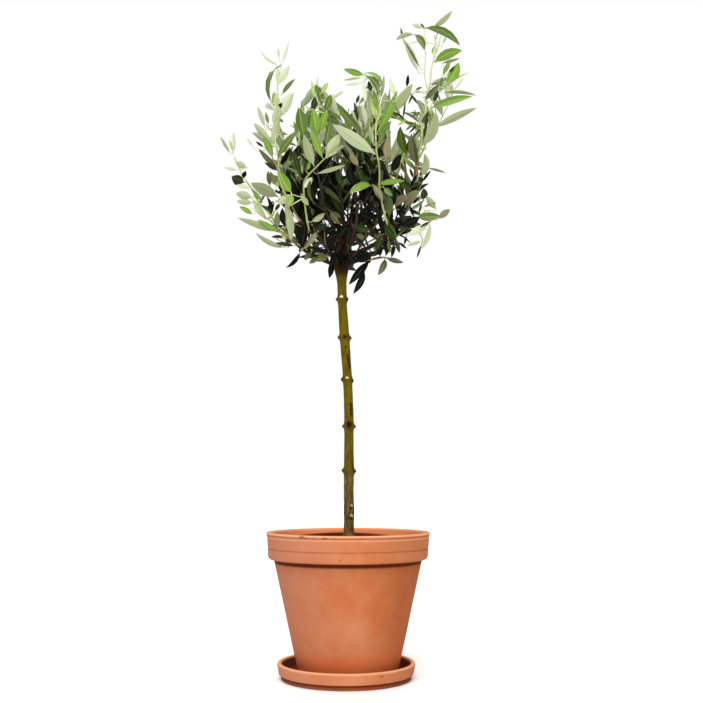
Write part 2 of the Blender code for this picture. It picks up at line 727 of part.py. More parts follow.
def thin(item):
    """Collapse the smallest triangles of an object, as far as it stays closed."""
    collapse = item.modifiers.new("Thin", "DECIMATE")
    for share in FUSED_SHARES:
        collapse.ratio = share
        mesh = evaluated_mesh(item)
        if is_closed(mesh):
            item.data = mesh
            break
        bpy.data.meshes.remove(mesh)
    item.modifiers.remove(collapse)


def is_closed(mesh):
    """Tell whether every edge of a mesh joins exactly two faces."""
    shell = bmesh.new()
    shell.from_mesh(mesh)
    closed = all(edge.is_manifold for edge in shell.edges)
    shell.free()
    return closed


def shells_of(shell):
    """Return the connected groups of faces of a bmesh."""
    left = set(shell.faces)
    groups = []
    while left:
        front = [left.pop()]
        group = list(front)
        while front:
            face = front.pop()
            for edge in face.edges:
                for other in edge.link_faces:
                    if other in left:
                        left.remove(other)
                        group.append(other)
                        front.append(other)
        groups.append(group)
    return groups


def keep_outer_shell(mesh):
    """Drop sealed hollows and loose scraps, so that one closed outer shell is left."""
    shell = bmesh.new()
    shell.from_mesh(mesh)
    bmesh.ops.triangulate(shell, faces=shell.faces)
    bmesh.ops.dissolve_degenerate(shell, edges=shell.edges, dist=2e-6)
    groups = shells_of(shell)
    groups.sort(key=len)
    spare = [face for group in groups[:-1] for face in group]
    bmesh.ops.delete(shell, geom=spare, context="FACES")
    loose = [vertex for vertex in shell.verts if not vertex.link_faces]
    bmesh.ops.delete(shell, geom=loose, context="VERTS")
    shell.to_mesh(mesh)
    shell.free()


# ----------------------------------------------------------------------- tree
def build_crown(trunk, collection, bough_material, leaf_material):
    """Make every limb: its bare bough, and the mass of leaves that it carries."""
    surface = BVHTree.FromObject(trunk, bpy.context.evaluated_depsgraph_get())
    lines = [Line(limb_line(limb, surface)) for limb in LIMBS]
    space = Space(lines)
    for index, (limb, line) in enumerate(zip(LIMBS, lines)):
        if limb.bare:
            build_bough(limb, line, collection, bough_material)
        mass = Mass(index, limb, line, space)
        mass.grow()
        mass.fuse(collection, leaf_material)


def main():
    """Build the saucer, the pot with its soil, and the tree."""
    clear_scene()
    collection = bpy.data.collections.new(OBJECT_NAME)
    bpy.context.scene.collection.children.link(collection)
    terracotta = make_material("terracotta", TERRACOTTA)
    soil = make_material("potting_soil", SOIL_BROWN)
    bark = make_material("olive_bark", OLIVE_BARK)
    bough_bark = make_material("bough_bark", BOUGH_BARK)
    leaf_green = make_material("olive_leaf", LEAF_GREEN)
    turned("saucer", saucer_profile(), (0.0, 0.0), 36, collection, terracotta)
    turned("pot", pot_profile(), POT_AXIS, 36, collection, terracotta)
    floor = SAUCER_FLOOR + GAP + POT_FLOOR
    turned("soil", soil_profile(floor), POT_AXIS, 32, collection, soil)
    trunk = build_trunk(collection, bark)
    build_crown(trunk, collection, bough_bark, leaf_green)
    for guide in [item for item in bpy.data.objects if item.name.startswith("outline_")]:
        bpy.data.objects.remove(guide, do_unlink=True)


main()
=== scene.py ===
"""Looks of the potted olive tree.

A young standard olive in an unglazed terracotta pot that stands in its saucer.
Metres, +Z up.  The origin is the centre of the saucer's flat underside.  Every
limb of the crown is one cubic curve from the trunk to the tip of a shoot.  Twigs
branch from it by a seeded rule, finer sprigs branch from the twigs, and opposite
pairs of leaves stand along all of them.  The leaves that show best from the front
are placed one by one, in sprays, and the grown ones keep out of their way.
"""

import logging
import math
import random
from dataclasses import dataclass, field
from enum import Enum
from pathlib import Path as FilePath

import bpy
import numpy as np
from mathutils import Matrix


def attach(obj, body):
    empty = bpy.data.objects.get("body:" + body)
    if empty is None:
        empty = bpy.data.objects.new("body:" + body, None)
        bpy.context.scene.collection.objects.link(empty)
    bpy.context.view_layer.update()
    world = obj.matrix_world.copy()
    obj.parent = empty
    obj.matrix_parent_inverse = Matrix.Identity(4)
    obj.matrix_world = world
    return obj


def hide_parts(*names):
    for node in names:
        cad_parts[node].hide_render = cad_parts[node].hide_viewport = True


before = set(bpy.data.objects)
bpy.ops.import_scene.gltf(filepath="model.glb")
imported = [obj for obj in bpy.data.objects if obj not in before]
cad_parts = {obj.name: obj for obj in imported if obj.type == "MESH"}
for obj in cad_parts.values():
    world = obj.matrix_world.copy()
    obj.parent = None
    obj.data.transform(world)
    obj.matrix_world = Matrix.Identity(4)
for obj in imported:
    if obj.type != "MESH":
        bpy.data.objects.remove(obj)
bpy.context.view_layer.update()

LOG = logging.getLogger("potted_olive_tree")
Array = np.ndarray
Values = Array | float
Pair, Triple = tuple[float, float], tuple[float, float, float]
Material, Node = bpy.types.Material, bpy.types.Node
Socket, Tree = bpy.types.NodeSocket, bpy.types.NodeTree
TAU = math.tau
UP = np.array((0.0, 0.0, 1.0))
BODY = "root"
MM = 0.001
PER_METRE = 1000.0
GOLDEN_TURN = 137.5
HASH_STEPS = np.array((73856093, 19349663, 83492791))
HASH_SEED = 2654435761
HASH_ROUNDS = ((2246822519, 13), (3266489917, 16))
WORD = 0xFFFFFFFF


# ---- numbers ----
def smooth(value: Values) -> Values:
    """Ease from 0 to 1 as value runs from 0 to 1: v squared times (3 - 2v)."""
    value = np.clip(value, 0.0, 1.0)
    return value * value * (3.0 - 2.0 * value)


def mix(low: Values, high: Values, share: Values) -> Values:
    """Return the value that lies a share of the way from low to high."""
    return low + (high - low) * share


def bell(value: Values, width: float) -> Values:
    """Return a bell curve of height 1 round 0: exp of minus (value / width) squared."""
    return np.exp(-((value / width) ** 2))


def unit(vectors: Array) -> Array:
    """Return vectors divided by their lengths, along the last axis."""
    return vectors / np.maximum(np.linalg.norm(vectors, axis=-1, keepdims=True), 1e-12)


def compass(azimuth: float, elevation: float) -> Array:
    """Return the unit vector at an azimuth and an elevation in degrees."""
    turn, lift = math.radians(azimuth), math.radians(elevation)
    return np.array((math.cos(turn) * math.cos(lift), math.sin(turn) * math.cos(lift),
                     math.sin(lift)))


def side_of(direction: Array, turn: float) -> Array:
    """Return a unit vector square to a direction.

    Args:
        direction: the unit direction.
        turn: degrees round it, from level.

    Returns:
        The unit vector.
    """
    upright = UP if abs(direction[2]) < 0.9 else np.array((0.0, -1.0, 0.0))
    across = unit(np.cross(direction, upright))
    raised = unit(np.cross(across, direction))
    angle = math.radians(turn)
    return across * math.cos(angle) + raised * math.sin(angle)


def lattice_noise(places: Array, cell: Values, seed: int) -> Array:
    """Return smooth noise from -1 to 1.

    Each corner of a lattice has a random value, and inside a cell the values of its
    eight corners are blended by smoothstep along the three axes.

    Args:
        places: points, in metres, one row each.
        cell: size of a cell, one number or one for each axis.
        seed: number that picks the random values.

    Returns:
        One value for each point.
    """
    scaled = places / cell
    base = np.floor(scaled).astype(np.int64)
    share = smooth(scaled - base)
    total = np.zeros(places.shape[:-1])
    for corner in range(8):
        offset = np.array([(corner >> axis) & 1 for axis in range(3)])
        weight = np.prod(np.where(offset == 1, share, 1.0 - share), axis=-1)
        keys = (base + offset) * HASH_STEPS + seed * HASH_SEED
        mixed = (keys[..., 0] ^ keys[..., 1] ^ keys[..., 2]) & WORD
        for factor, shift in HASH_ROUNDS:
            mixed = (mixed * factor ^ (mixed >> shift)) & WORD
        total += weight * (mixed / (0.5 * WORD) - 1.0)
    return total


# ---- meshes ----
def circle(count: int) -> Array:
    """Return (cos a, sin a, 0) at even steps round a circle, one row each."""
    angles = TAU * np.arange(count) / count
    return np.stack((np.cos(angles), np.sin(angles), np.zeros(count)), axis=-1)


def grid_faces(rows: int, columns: int, wrap_rows: bool = False) -> Array:
    """Return the quads of a grid whose columns close into rings.

    The quad at (row, column) joins that vertex with the next column and the next row.

    Args:
        rows: number of rings.
        columns: number of vertices in each ring.
        wrap_rows: whether the last ring joins the first, as on a closed profile.

    Returns:
        One row of four vertex numbers for each quad.
    """
    numbers = np.arange(rows * columns).reshape(rows, columns)
    if wrap_rows:
        numbers = np.vstack((numbers, numbers[:1]))
    beside = np.roll(numbers, -1, axis=1)
    quads = np.stack((numbers[:-1], beside[:-1], beside[1:], numbers[1:]), axis=-1)
    return quads.reshape(-1, 4)


def capped(rings: int, sides: int) -> list[Array]:
    """Return the quads between rings, and the two polygons that close their ends."""
    around = np.arange(sides)
    return [grid_faces(rings, sides), np.vstack((around[::-1], (rings - 1) * sides + around))]


def fan(centre: int, first: int, sides: int) -> Array:
    """Return the triangles from a centre's vertex to a ring, by its first vertex."""
    around = first + np.arange(sides)
    return np.stack((np.full_like(around, centre), around, np.roll(around, -1)), axis=-1)


def placed(name: str, data: bpy.types.ID) -> bpy.types.Object:
    """Put a mesh, a light or a camera into the scene.

    Args:
        name: its name.
        data: what it is.

    Returns:
        The new object.
    """
    item = bpy.data.objects.new(name, data)
    bpy.context.scene.collection.objects.link(item)
    return item


class Surface:
    """Faces of one mesh, collected as arrays: vertices, polygons and their slots."""

    def __init__(self) -> None:
        """Start with nothing."""
        self.places: list[Array] = []
        self.faces: list[Array] = []
        self.slots: list[Array] = []
        self.values: dict[str, list[Array]] = {}
        self.count = 0

    def add(self, places: Array, faces: list[Array], slots: list[Array | int] | None = None,
            **values: Array) -> None:
        """Add vertices, the faces between them and values for each vertex.

        Args:
            places: the vertices.
            faces: arrays of vertex numbers, one array for each number of corners.
            slots: the material slot of each array's faces, or of each face.
            values: numbers kept on the vertices under these names.
        """
        self.places.append(places.reshape(-1, 3))
        for index, group in enumerate(faces):
            slot = 0 if slots is None else slots[index]
            self.faces.append(group + self.count)
            self.slots.append(np.broadcast_to(np.asarray(slot), (len(group),)))
        for name, numbers in values.items():
            self.values.setdefault(name, []).append(np.asarray(numbers, float).ravel())
        self.count += self.places[-1].shape[0]

    def to_object(self, name: str, materials: list[Material], slot: str,
                  sharp_above: float = 60.0) -> bpy.types.Object:
        """Write the mesh and return its object, which rides on the plant's body.

        Args:
            name: the piece's name.
            materials: its materials, in the order of the slots.
            slot: not used.
            sharp_above: angle in degrees past which an edge between faces is sharp.

        Returns:
            The new object.
        """
        mesh = bpy.data.meshes.new(name)
        places = np.concatenate(self.places)
        mesh.vertices.add(len(places))
        mesh.vertices.foreach_set("co", places.astype(np.float32).ravel())
        corners = np.concatenate([group.ravel() for group in self.faces])
        totals = np.concatenate([np.full(len(group), group.shape[1]) for group in self.faces])
        mesh.loops.add(len(corners))
        mesh.loops.foreach_set("vertex_index", corners.astype(np.int32))
        mesh.polygons.add(len(totals))
        starts = np.concatenate(((0,), np.cumsum(totals)[:-1]))
        mesh.polygons.foreach_set("loop_start", starts.astype(np.int32))
        mesh.update(calc_edges=True)
        mesh.polygons.foreach_set("material_index", np.concatenate(self.slots).astype(np.int32))
        for key, groups in self.values.items():
            layer = mesh.attributes.new(key, "FLOAT", "POINT")
            layer.data.foreach_set("value", np.concatenate(groups).astype(np.float32))
        for material in materials:
            mesh.materials.append(material)
        mesh.shade_smooth()
        mesh.set_sharp_from_angle(angle=math.radians(sharp_above))
        item = placed(name, mesh)
        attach(item, BODY)
        LOG.info("%s: %d vertices, %d faces", name, len(places), len(totals))
        return item


def ring_frames(points: Array) -> tuple[Array, Array]:
    """Return the across and raised unit directions at each point of a line.

    The across direction is square to the tangent and to one fixed normal of the
    line's own bend, so that the rings don't turn as they go along.

    Args:
        points: the line's points, one row each.

    Returns:
        Two arrays of unit vectors.
    """
    tangents = unit(np.gradient(points, axis=0))
    normal = np.cross(tangents[0], tangents[-1])
    if np.linalg.norm(normal) < 0.05:
        normal = side_of(tangents[0], 0.0)
    across = unit(np.cross(np.broadcast_to(unit(normal), tangents.shape), tangents))
    return across, np.cross(tangents, across)


def tube(points: Array, radii: Array, sides: int) -> tuple[Array, list[Array]]:
    """Carry a circle along a line and close both ends.

    Vertex (i, a) = point i + radius (i, a) times (across cos a + raised sin a).

    Args:
        points: the centre line.
        radii: one radius for each point, or one for each point and side.
        sides: number of sides.

    Returns:
        The vertices, as (points, sides, 3), and the faces: quads, then two end caps.
    """
    across, raised = ring_frames(points)
    turns = circle(sides)
    radii = np.broadcast_to(radii[:, None] if radii.ndim == 1 else radii, (len(points), sides))
    arms = across[:, None] * turns[:, :1] + raised[:, None] * turns[:, 1:2]
    return points[:, None] + arms * radii[..., None], capped(len(points), sides)


def rounded(corners: list[Triple], steps: int, closed: bool = True) -> Array:
    """Round the corners of a profile with arcs that touch both of its sides.

    Args:
        corners: (radius, height, rounding) of each corner.
        steps: parts of each arc.
        closed: whether the last corner joins the first.

    Returns:
        Points (radius, height), one row each.
    """
    points = []
    count = len(corners)
    for index, (x, z, rounding) in enumerate(corners):
        here = np.array((x, z))
        if rounding <= 0.0 or (not closed and index in (0, count - 1)):
            points.append(here)
            continue
        before = unit(np.array(corners[index - 1][:2]) - here)
        after = unit(np.array(corners[(index + 1) % count][:2]) - here)
        half = 0.5 * math.acos(float(np.clip(before @ after, -1.0, 1.0)))
        back = rounding / math.tan(half)
        centre = here + unit(before + after) * (rounding / math.sin(half))
        start, end = here + before * back - centre, here + after * back - centre
        points.extend(centre + unit(mix(start, end, step / steps)) * rounding
                      for step in range(steps + 1))
    return np.array(points)


def along_profile(profile: Array, longest: float, closed: bool = True) -> Array:
    """Split the sides of a profile evenly.

    Args:
        profile: points (radius, height), one row each.
        longest: the most that a side may measure.
        closed: whether the last point joins the first.

    Returns:
        The finer profile.
    """
    points = []
    for here, there in zip(profile, np.roll(profile, -1, axis=0) if closed else profile[1:]):
        parts = max(1, math.ceil(float(np.linalg.norm(there - here)) / longest))
        points.extend(mix(here, there, step / parts) for step in range(parts))
    return np.array(points if closed else [*points, profile[-1]])


# ---- materials ----
def linear(colour: str) -> tuple[float, ...]:
    """Turn an sRGB hex colour, such as #C9774F, into linear light.

    Args:
        colour: the hex colour.

    Returns:
        Red, green, blue and alpha.
    """
    channels = np.array([int(colour[place:place + 2], 16) for place in (1, 3, 5)]) / 255.0
    light = np.where(channels <= 0.04045, channels / 12.92, ((channels + 0.055) / 1.055) ** 2.4)
    return (*map(float, light), 1.0)


def add_node(tree: Tree, kind: str, inputs: dict | None = None,
             **settings: object) -> Node:
    """Add a node with its settings, and give its inputs values or links.

    Args:
        tree: the node tree.
        kind: the node's type.
        inputs: for each input's name or number a value, a hex colour, an output to
            link, or a node whose first output is linked.
        settings: the node's own properties.

    Returns:
        The new node.
    """
    made = tree.nodes.new(kind)
    for name, value in settings.items():
        setattr(made, name, value)
    for name, value in (inputs or {}).items():
        if isinstance(value, (Socket, Node)):
            output = value.outputs[0] if isinstance(value, Node) else value
            tree.links.new(output, made.inputs[name])
        else:
            made.inputs[name].default_value = linear(value) if isinstance(value, str) else value
    return made


def new_material(name: str, **sockets: object) -> Material:
    """Return a Principled material.

    Args:
        name: its name.
        sockets: values for the shader's own sockets, such as base_color.

    Returns:
        The material.
    """
    material = bpy.data.materials.new(name)
    material.use_nodes = True
    shader = material.node_tree.nodes["Principled BSDF"]
    for key, value in sockets.items():
        shader.inputs[key.replace("_", " ").title().replace("Ior", "IOR")].default_value = value
    return material


def dressed(material: Material, height: Node, strength: float, depth: float,
            colour: Socket | None = None) -> Material:
    """Give a material its relief, and its colour where a pattern makes it.

    Args:
        material: the material.
        height: the node that tells how high the surface stands.
        strength: the bump's strength.
        depth: the height's full range, in metres.
        colour: the pattern's output.

    Returns:
        The same material.
    """
    tree = material.node_tree
    shader = tree.nodes["Principled BSDF"]
    bump = add_node(tree, "ShaderNodeBump", {
        "Height": height, "Strength": strength, "Distance": depth})
    tree.links.new(bump.outputs["Normal"], shader.inputs["Normal"])
    if colour is not None:
        tree.links.new(colour, shader.inputs["Base Color"])
    return material


@dataclass(frozen=True)
class Layer:
    """One paint over the others: its colour, and what tells where it lies.

    where: the name of the mesh's own mark, or a node or output.  As the output runs
    from low to high, the paint's share runs from 0 to most, eased where asked.
    """

    where: str | Node | Socket
    paint: str | Socket
    low: float = 0.0
    high: float = 1.0
    most: float = 1.0
    is_eased: bool = False


def layered(tree: Tree, colour: str | Socket, *layers: Layer) -> Socket:
    """Lay paints over a ground, one after another.

    Args:
        tree: the material's node tree.
        colour: the ground.
        layers: the paints.

    Returns:
        The output of the last paint.
    """
    for layer in layers:
        if isinstance(layer.where, str):
            share = add_node(tree, "ShaderNodeAttribute", attribute_name=layer.where).outputs["Fac"]
        else:
            share = add_node(tree, "ShaderNodeMapRange", {
                "Value": layer.where, "From Min": layer.low, "From Max": layer.high,
                "To Max": layer.most},
                interpolation_type="SMOOTHSTEP" if layer.is_eased else "LINEAR")
        made = add_node(tree, "ShaderNodeMix", {0: share, 6: colour, 7: layer.paint},
                        data_type="RGBA")
        colour = made.outputs[2]
    return colour


@dataclass(frozen=True)
class Terracotta:
    """Unglazed terracotta, pressed on a wheel and fired: matt, porous, warm orange.

    The eye sees broad soft patches where it dried unevenly, fine grit, and faint rings
    from the turning.  Over these lie painted light and shade: pinker on the left, the
    lit side, and browner on the right, the shaded side; a pale tone and painted
    highlights on the rims; painted light on the band and the inner rim; painted shade
    in the corners, creases and hollows; and a deeper orange for the shade near the
    foot.  Real grit is about 0.3 mm and is drawn at 0.9 mm, so that it shows.
    """

    clay: str = "#AF6238"
    pale: str = "#B67350"
    # Browner on the right, the shaded side: painted shade.
    brown: str = "#94491C"
    # Pinker on the left, the lit side: painted light.
    painted_left_light: str = "#A86B54"
    raw: str = "#5A1E0A"
    # A pale tone, with painted light and highlights on the band and the rims.
    pale_tone_and_painted_light: str = "#F6B68C"
    # Painted shade and shadow in the corners, creases and hollows.
    painted_shade: str = "#551B02"
    # A deeper orange near the pot's foot: painted shade.
    warm: str = "#C65C26"
    # A lighter orange on the pot's inner rim: painted light.
    fresh: str = "#F49662"
    roughness: float = 0.86
    patch_mm: float = 46.0
    grit_mm: float = 0.9
    ring_mm: float = 3.2
    ring_share: float = 0.1

    def material(self, name: str) -> Material:
        """Return the material, whose patches, grit and rings follow Object coordinates.

        Args:
            name: its name.

        Returns:
            The material.
        """
        material = new_material(name, roughness=self.roughness, specular_ior_level=0.12)
        tree = material.node_tree
        place = add_node(tree, "ShaderNodeTexCoord").outputs["Object"]
        axes = add_node(tree, "ShaderNodeSeparateXYZ", {"Vector": place}).outputs
        patches = add_node(tree, "ShaderNodeTexNoise", {
            "Vector": place, "Scale": PER_METRE / self.patch_mm, "Detail": 4.0, "Roughness": 0.62})
        grit = add_node(tree, "ShaderNodeTexNoise", {
            "Vector": place, "Scale": PER_METRE / self.grit_mm, "Detail": 3.0, "Roughness": 0.6})
        # Over the clay: painted light on the left and painted shade on the right; most of the mesh's marks
        # below carry painted light and shade too.
        colour = layered(
            tree, self.clay, Layer(patches, self.pale, 0.36, 0.66),
            Layer(axes["X"], self.painted_left_light, 0.02, -0.1, 0.75, True),
            Layer(axes["X"], self.brown, 0.01, 0.075, 0.62, True),
            Layer(grit, self.raw, 0.66, 0.74, 0.16), Layer("warm", self.warm),
            Layer("pale_tone_and_painted_light", self.pale_tone_and_painted_light), Layer("fresh", self.fresh),
            Layer("painted_shade", self.painted_shade), Layer("chip", self.raw))
        turn = add_node(tree, "ShaderNodeMath", {
            0: axes["Z"], 1: TAU * PER_METRE / self.ring_mm}, operation="MULTIPLY")
        rings = add_node(tree, "ShaderNodeMath", {0: turn}, operation="SINE")
        heights = add_node(tree, "ShaderNodeMath", {
            0: rings, 1: self.ring_share, 2: grit}, operation="MULTIPLY_ADD")
        return dressed(material, heights, 0.35, 0.4 * MM, colour)


@dataclass(frozen=True)
class Mottled:
    """A matt natural surface in two tones, which one noise mixes and also raises."""

    ground: str
    flecks: str
    low: float
    high: float
    roughness: float
    gloss: float
    grain_mm: float
    detail: float
    grain_roughness: float
    relief: float
    relief_mm: float

    def material(self, name: str) -> Material:
        """Return the material, mottled in Object coordinates.

        Args:
            name: its name.

        Returns:
            The material.
        """
        material = new_material(name, roughness=self.roughness, specular_ior_level=self.gloss)
        tree = material.node_tree
        place = add_node(tree, "ShaderNodeTexCoord").outputs["Object"]
        grain = add_node(tree, "ShaderNodeTexNoise", {
            "Vector": place, "Scale": PER_METRE / self.grain_mm, "Detail": self.detail,
            "Roughness": self.grain_roughness})
        colour = layered(tree, self.ground, Layer(grain, self.flecks, self.low, self.high))
        return dressed(material, grain, self.relief, MM * self.relief_mm, colour)


# Damp peat and composted bark: nearly black crumbs, with browner fibres between.
POTTING_SOIL = Mottled("#140A05", "#40200F", 0.45, 0.72, 0.95, 0.1, 3.5, 6.0, 0.7, 0.8, 1.5)
# Bark of the crown's boughs: thin, reddish brown, with grey streaks along it.
BOUGH_BARK = Mottled("#3A1808", "#20160D", 0.4, 0.66, 0.7, 0.2, 2.6316, 5.0, 0.65, 0.5, 0.4)


@dataclass(frozen=True)
class OliveBark:
    """Bark of a young olive stem: smooth and olive-green above, rough and brown below.

    The eye sees a waxy olive skin with rusty streaks, brown at the knots, and cut
    scars with dark hearts and pale or orange rims.
    """

    skin: str = "#625400"
    skin_dark: str = "#403600"
    rust: str = "#3E1405"
    old: str = "#4C3812"
    old_pale: str = "#7A6534"
    heart: str = "#120502"
    rim: str = "#5E2D14"
    pale: str = "#D8CDB0"
    change: float = 0.262
    stretch: float = 0.22
    streak_mm: float = 2.381
    blotch_mm: float = 10.526

    def material(self, name: str) -> Material:
        """Return the material, which reads the mesh's own marks and its height.

        Args:
            name: its name.

        Returns:
            The material.
        """
        material = new_material(name, roughness=0.5, specular_ior_level=0.06)
        tree = material.node_tree
        place = add_node(tree, "ShaderNodeTexCoord").outputs["Object"]
        height = add_node(tree, "ShaderNodeSeparateXYZ", {"Vector": place}).outputs["Z"]
        drawn_out = add_node(tree, "ShaderNodeMapping", {
            "Vector": place, "Scale": (1.0, 1.0, self.stretch)})
        streaks = add_node(tree, "ShaderNodeTexNoise", {
            "Vector": drawn_out, "Scale": PER_METRE / self.streak_mm, "Detail": 5.0,
            "Roughness": 0.65})
        blotches = add_node(tree, "ShaderNodeTexNoise", {
            "Vector": drawn_out, "Scale": PER_METRE / self.blotch_mm, "Detail": 3.0,
            "Roughness": 0.55})
        green = layered(tree, self.skin, Layer(streaks, self.skin_dark, 0.42, 0.68),
                        Layer(blotches, self.rust, 0.56, 0.74, 0.7))
        ragged = add_node(tree, "ShaderNodeMath", {
            0: blotches, 1: 0.016, 2: height}, operation="MULTIPLY_ADD")
        colour = layered(
            tree, self.old, Layer(streaks, self.old_pale, 0.42, 0.68),
            Layer(ragged, green, self.change + 0.003, self.change + 0.014, is_eased=True),
            Layer("knot", self.rust), Layer("rim", self.rim), Layer("pale", self.pale),
            Layer("heart", self.heart))
        return dressed(material, streaks, 0.5, 0.5 * MM, colour)


def plain(name: str, colour: str, roughness: float, gloss: float, grain_mm: float,
          relief: float, relief_mm: float) -> Material:
    """Return a material of one colour with a fine grain, in Object coordinates.

    Args:
        name: its name.
        colour: its hex colour.
        roughness: how matt it is.
        gloss: its specular level.
        grain_mm: size of the grain.
        relief: the bump's strength.
        relief_mm: how deep the grain is.

    Returns:
        The material.
    """
    material = new_material(name, base_color=linear(colour), roughness=roughness,
                            specular_ior_level=gloss)
    tree = material.node_tree
    grain = add_node(tree, "ShaderNodeTexNoise", {
        "Vector": add_node(tree, "ShaderNodeTexCoord").outputs["Object"],
        "Scale": PER_METRE / grain_mm, "Detail": 2.0})
    return dressed(material, grain, relief, MM * relief_mm)


@dataclass(frozen=True)
class LeafFinish:
    """One tint of olive leaf: a waxy upper side, a felted silvery underside, a pale rib."""

    name: str
    upper: str
    under: str
    rib: str
    roughness: float = 0.44
    gloss: float = 0.45
    vein_mm: float = 2.2

    def materials(self) -> list[Material]:
        """Return the materials of the upper side, the underside and the rib."""
        return [plain(f"olive_leaf_{self.name}_{part}", colour, roughness, gloss, self.vein_mm,
                      0.25, 0.3)
                for part, colour, roughness, gloss in (
                    ("upper", self.upper, self.roughness, self.gloss),
                    ("underside", self.under, 0.85, 0.15), ("rib", self.rib, 0.6, 0.25))]


class Tint(Enum):
    """The tints that the sprays are dealt, from the deep shade to the tender tips."""

    # The darker tints are partly painted shade, dealt low and deep in the crown; the brighter ones partly
    # painted light, dealt high up and outside.
    SHADE = LeafFinish("shade", "#070C02", "#1E210D", "#161C0A", 0.55, 0.06)
    DEEP = LeafFinish("deep", "#1E2D06", "#4C552D", "#43511E", 0.5, 0.16)
    DUSTY = LeafFinish("dusty", "#4A4E1E", "#807D5E", "#76743F")
    GREEN = LeafFinish("green", "#4C6414", "#949C78", "#7C924A")
    BRIGHT = LeafFinish("bright", "#688C1A", "#A9B391", "#93AE55")
    TENDER = LeafFinish("tender", "#A2B562", "#C5CDAE", "#C4CF96")


SHADE, DEEP, DUSTY, GREEN, BRIGHT, TENDER = Tint


class Bark(Enum):
    """Colours of the shoots, from old wood to the tender tips; plain by section."""

    # Old wood, nearly black: partly the bark's age, partly painted shade in the crown.
    OLD = ("old", "#291F15")
    RIPE = ("ripe", "#776743")
    GREEN = ("green", "#A0A764")
    TENDER = ("tender", "#C5CE92")

    def material(self) -> Material:
        """Return the material of this colour of shoot: thin bark, finely wrinkled."""
        name, colour = self.value
        return plain(f"olive_shoot_{name}", colour, 0.6, 0.25, 0.9, 0.4, 0.2)


# ---- pot, saucer, soil ----
def spun(profile: Array, axis: Pair, segments: int, warp: float,
         seed: int) -> Array:
    """Turn a profile round a vertical axis, with a slight warp from the firing.

    Vertex (i, a) = axis + (radius i + warp times noise) times (cos a, sin a), height i.

    Args:
        profile: (radius, height) of each ring.
        axis: where the axis stands.
        segments: number of steps round the axis.
        warp: how far the radius strays, in metres.
        seed: number that picks the warp.

    Returns:
        The vertices, as (rings, segments, 3).
    """
    places = profile[:, None, :1] * circle(segments)
    places[..., 2] = profile[:, None, 1]
    stray = 1.0 + warp * lattice_noise(places, (0.09, 0.09, 0.03), seed) / np.maximum(
        profile[:, None, 0], 0.02)
    places[..., :2] = places[..., :2] * stray[..., None] + np.array(axis)
    return places


@dataclass(frozen=True)
class Chip:
    """A small flake off the rim, four times as long as it is high."""

    azimuth: float
    size: float
    height: float

    def reach(self, places: Array, axis: Pair) -> Array:
        """Return the flake's share at each place: a bell over the unrolled wall.

        Args:
            places: points.
            axis: where the turned piece's axis stands.

        Returns:
            Shares from 0 to 1.
        """
        across, along = places[..., 0] - axis[0], places[..., 1] - axis[1]
        turn = np.arctan2(along, across) - math.radians(self.azimuth)
        turn = (turn + math.pi) % TAU - math.pi
        round_it = 0.25 * turn * np.hypot(across, along)
        return bell(np.hypot(round_it, places[..., 2] - self.height), self.size)


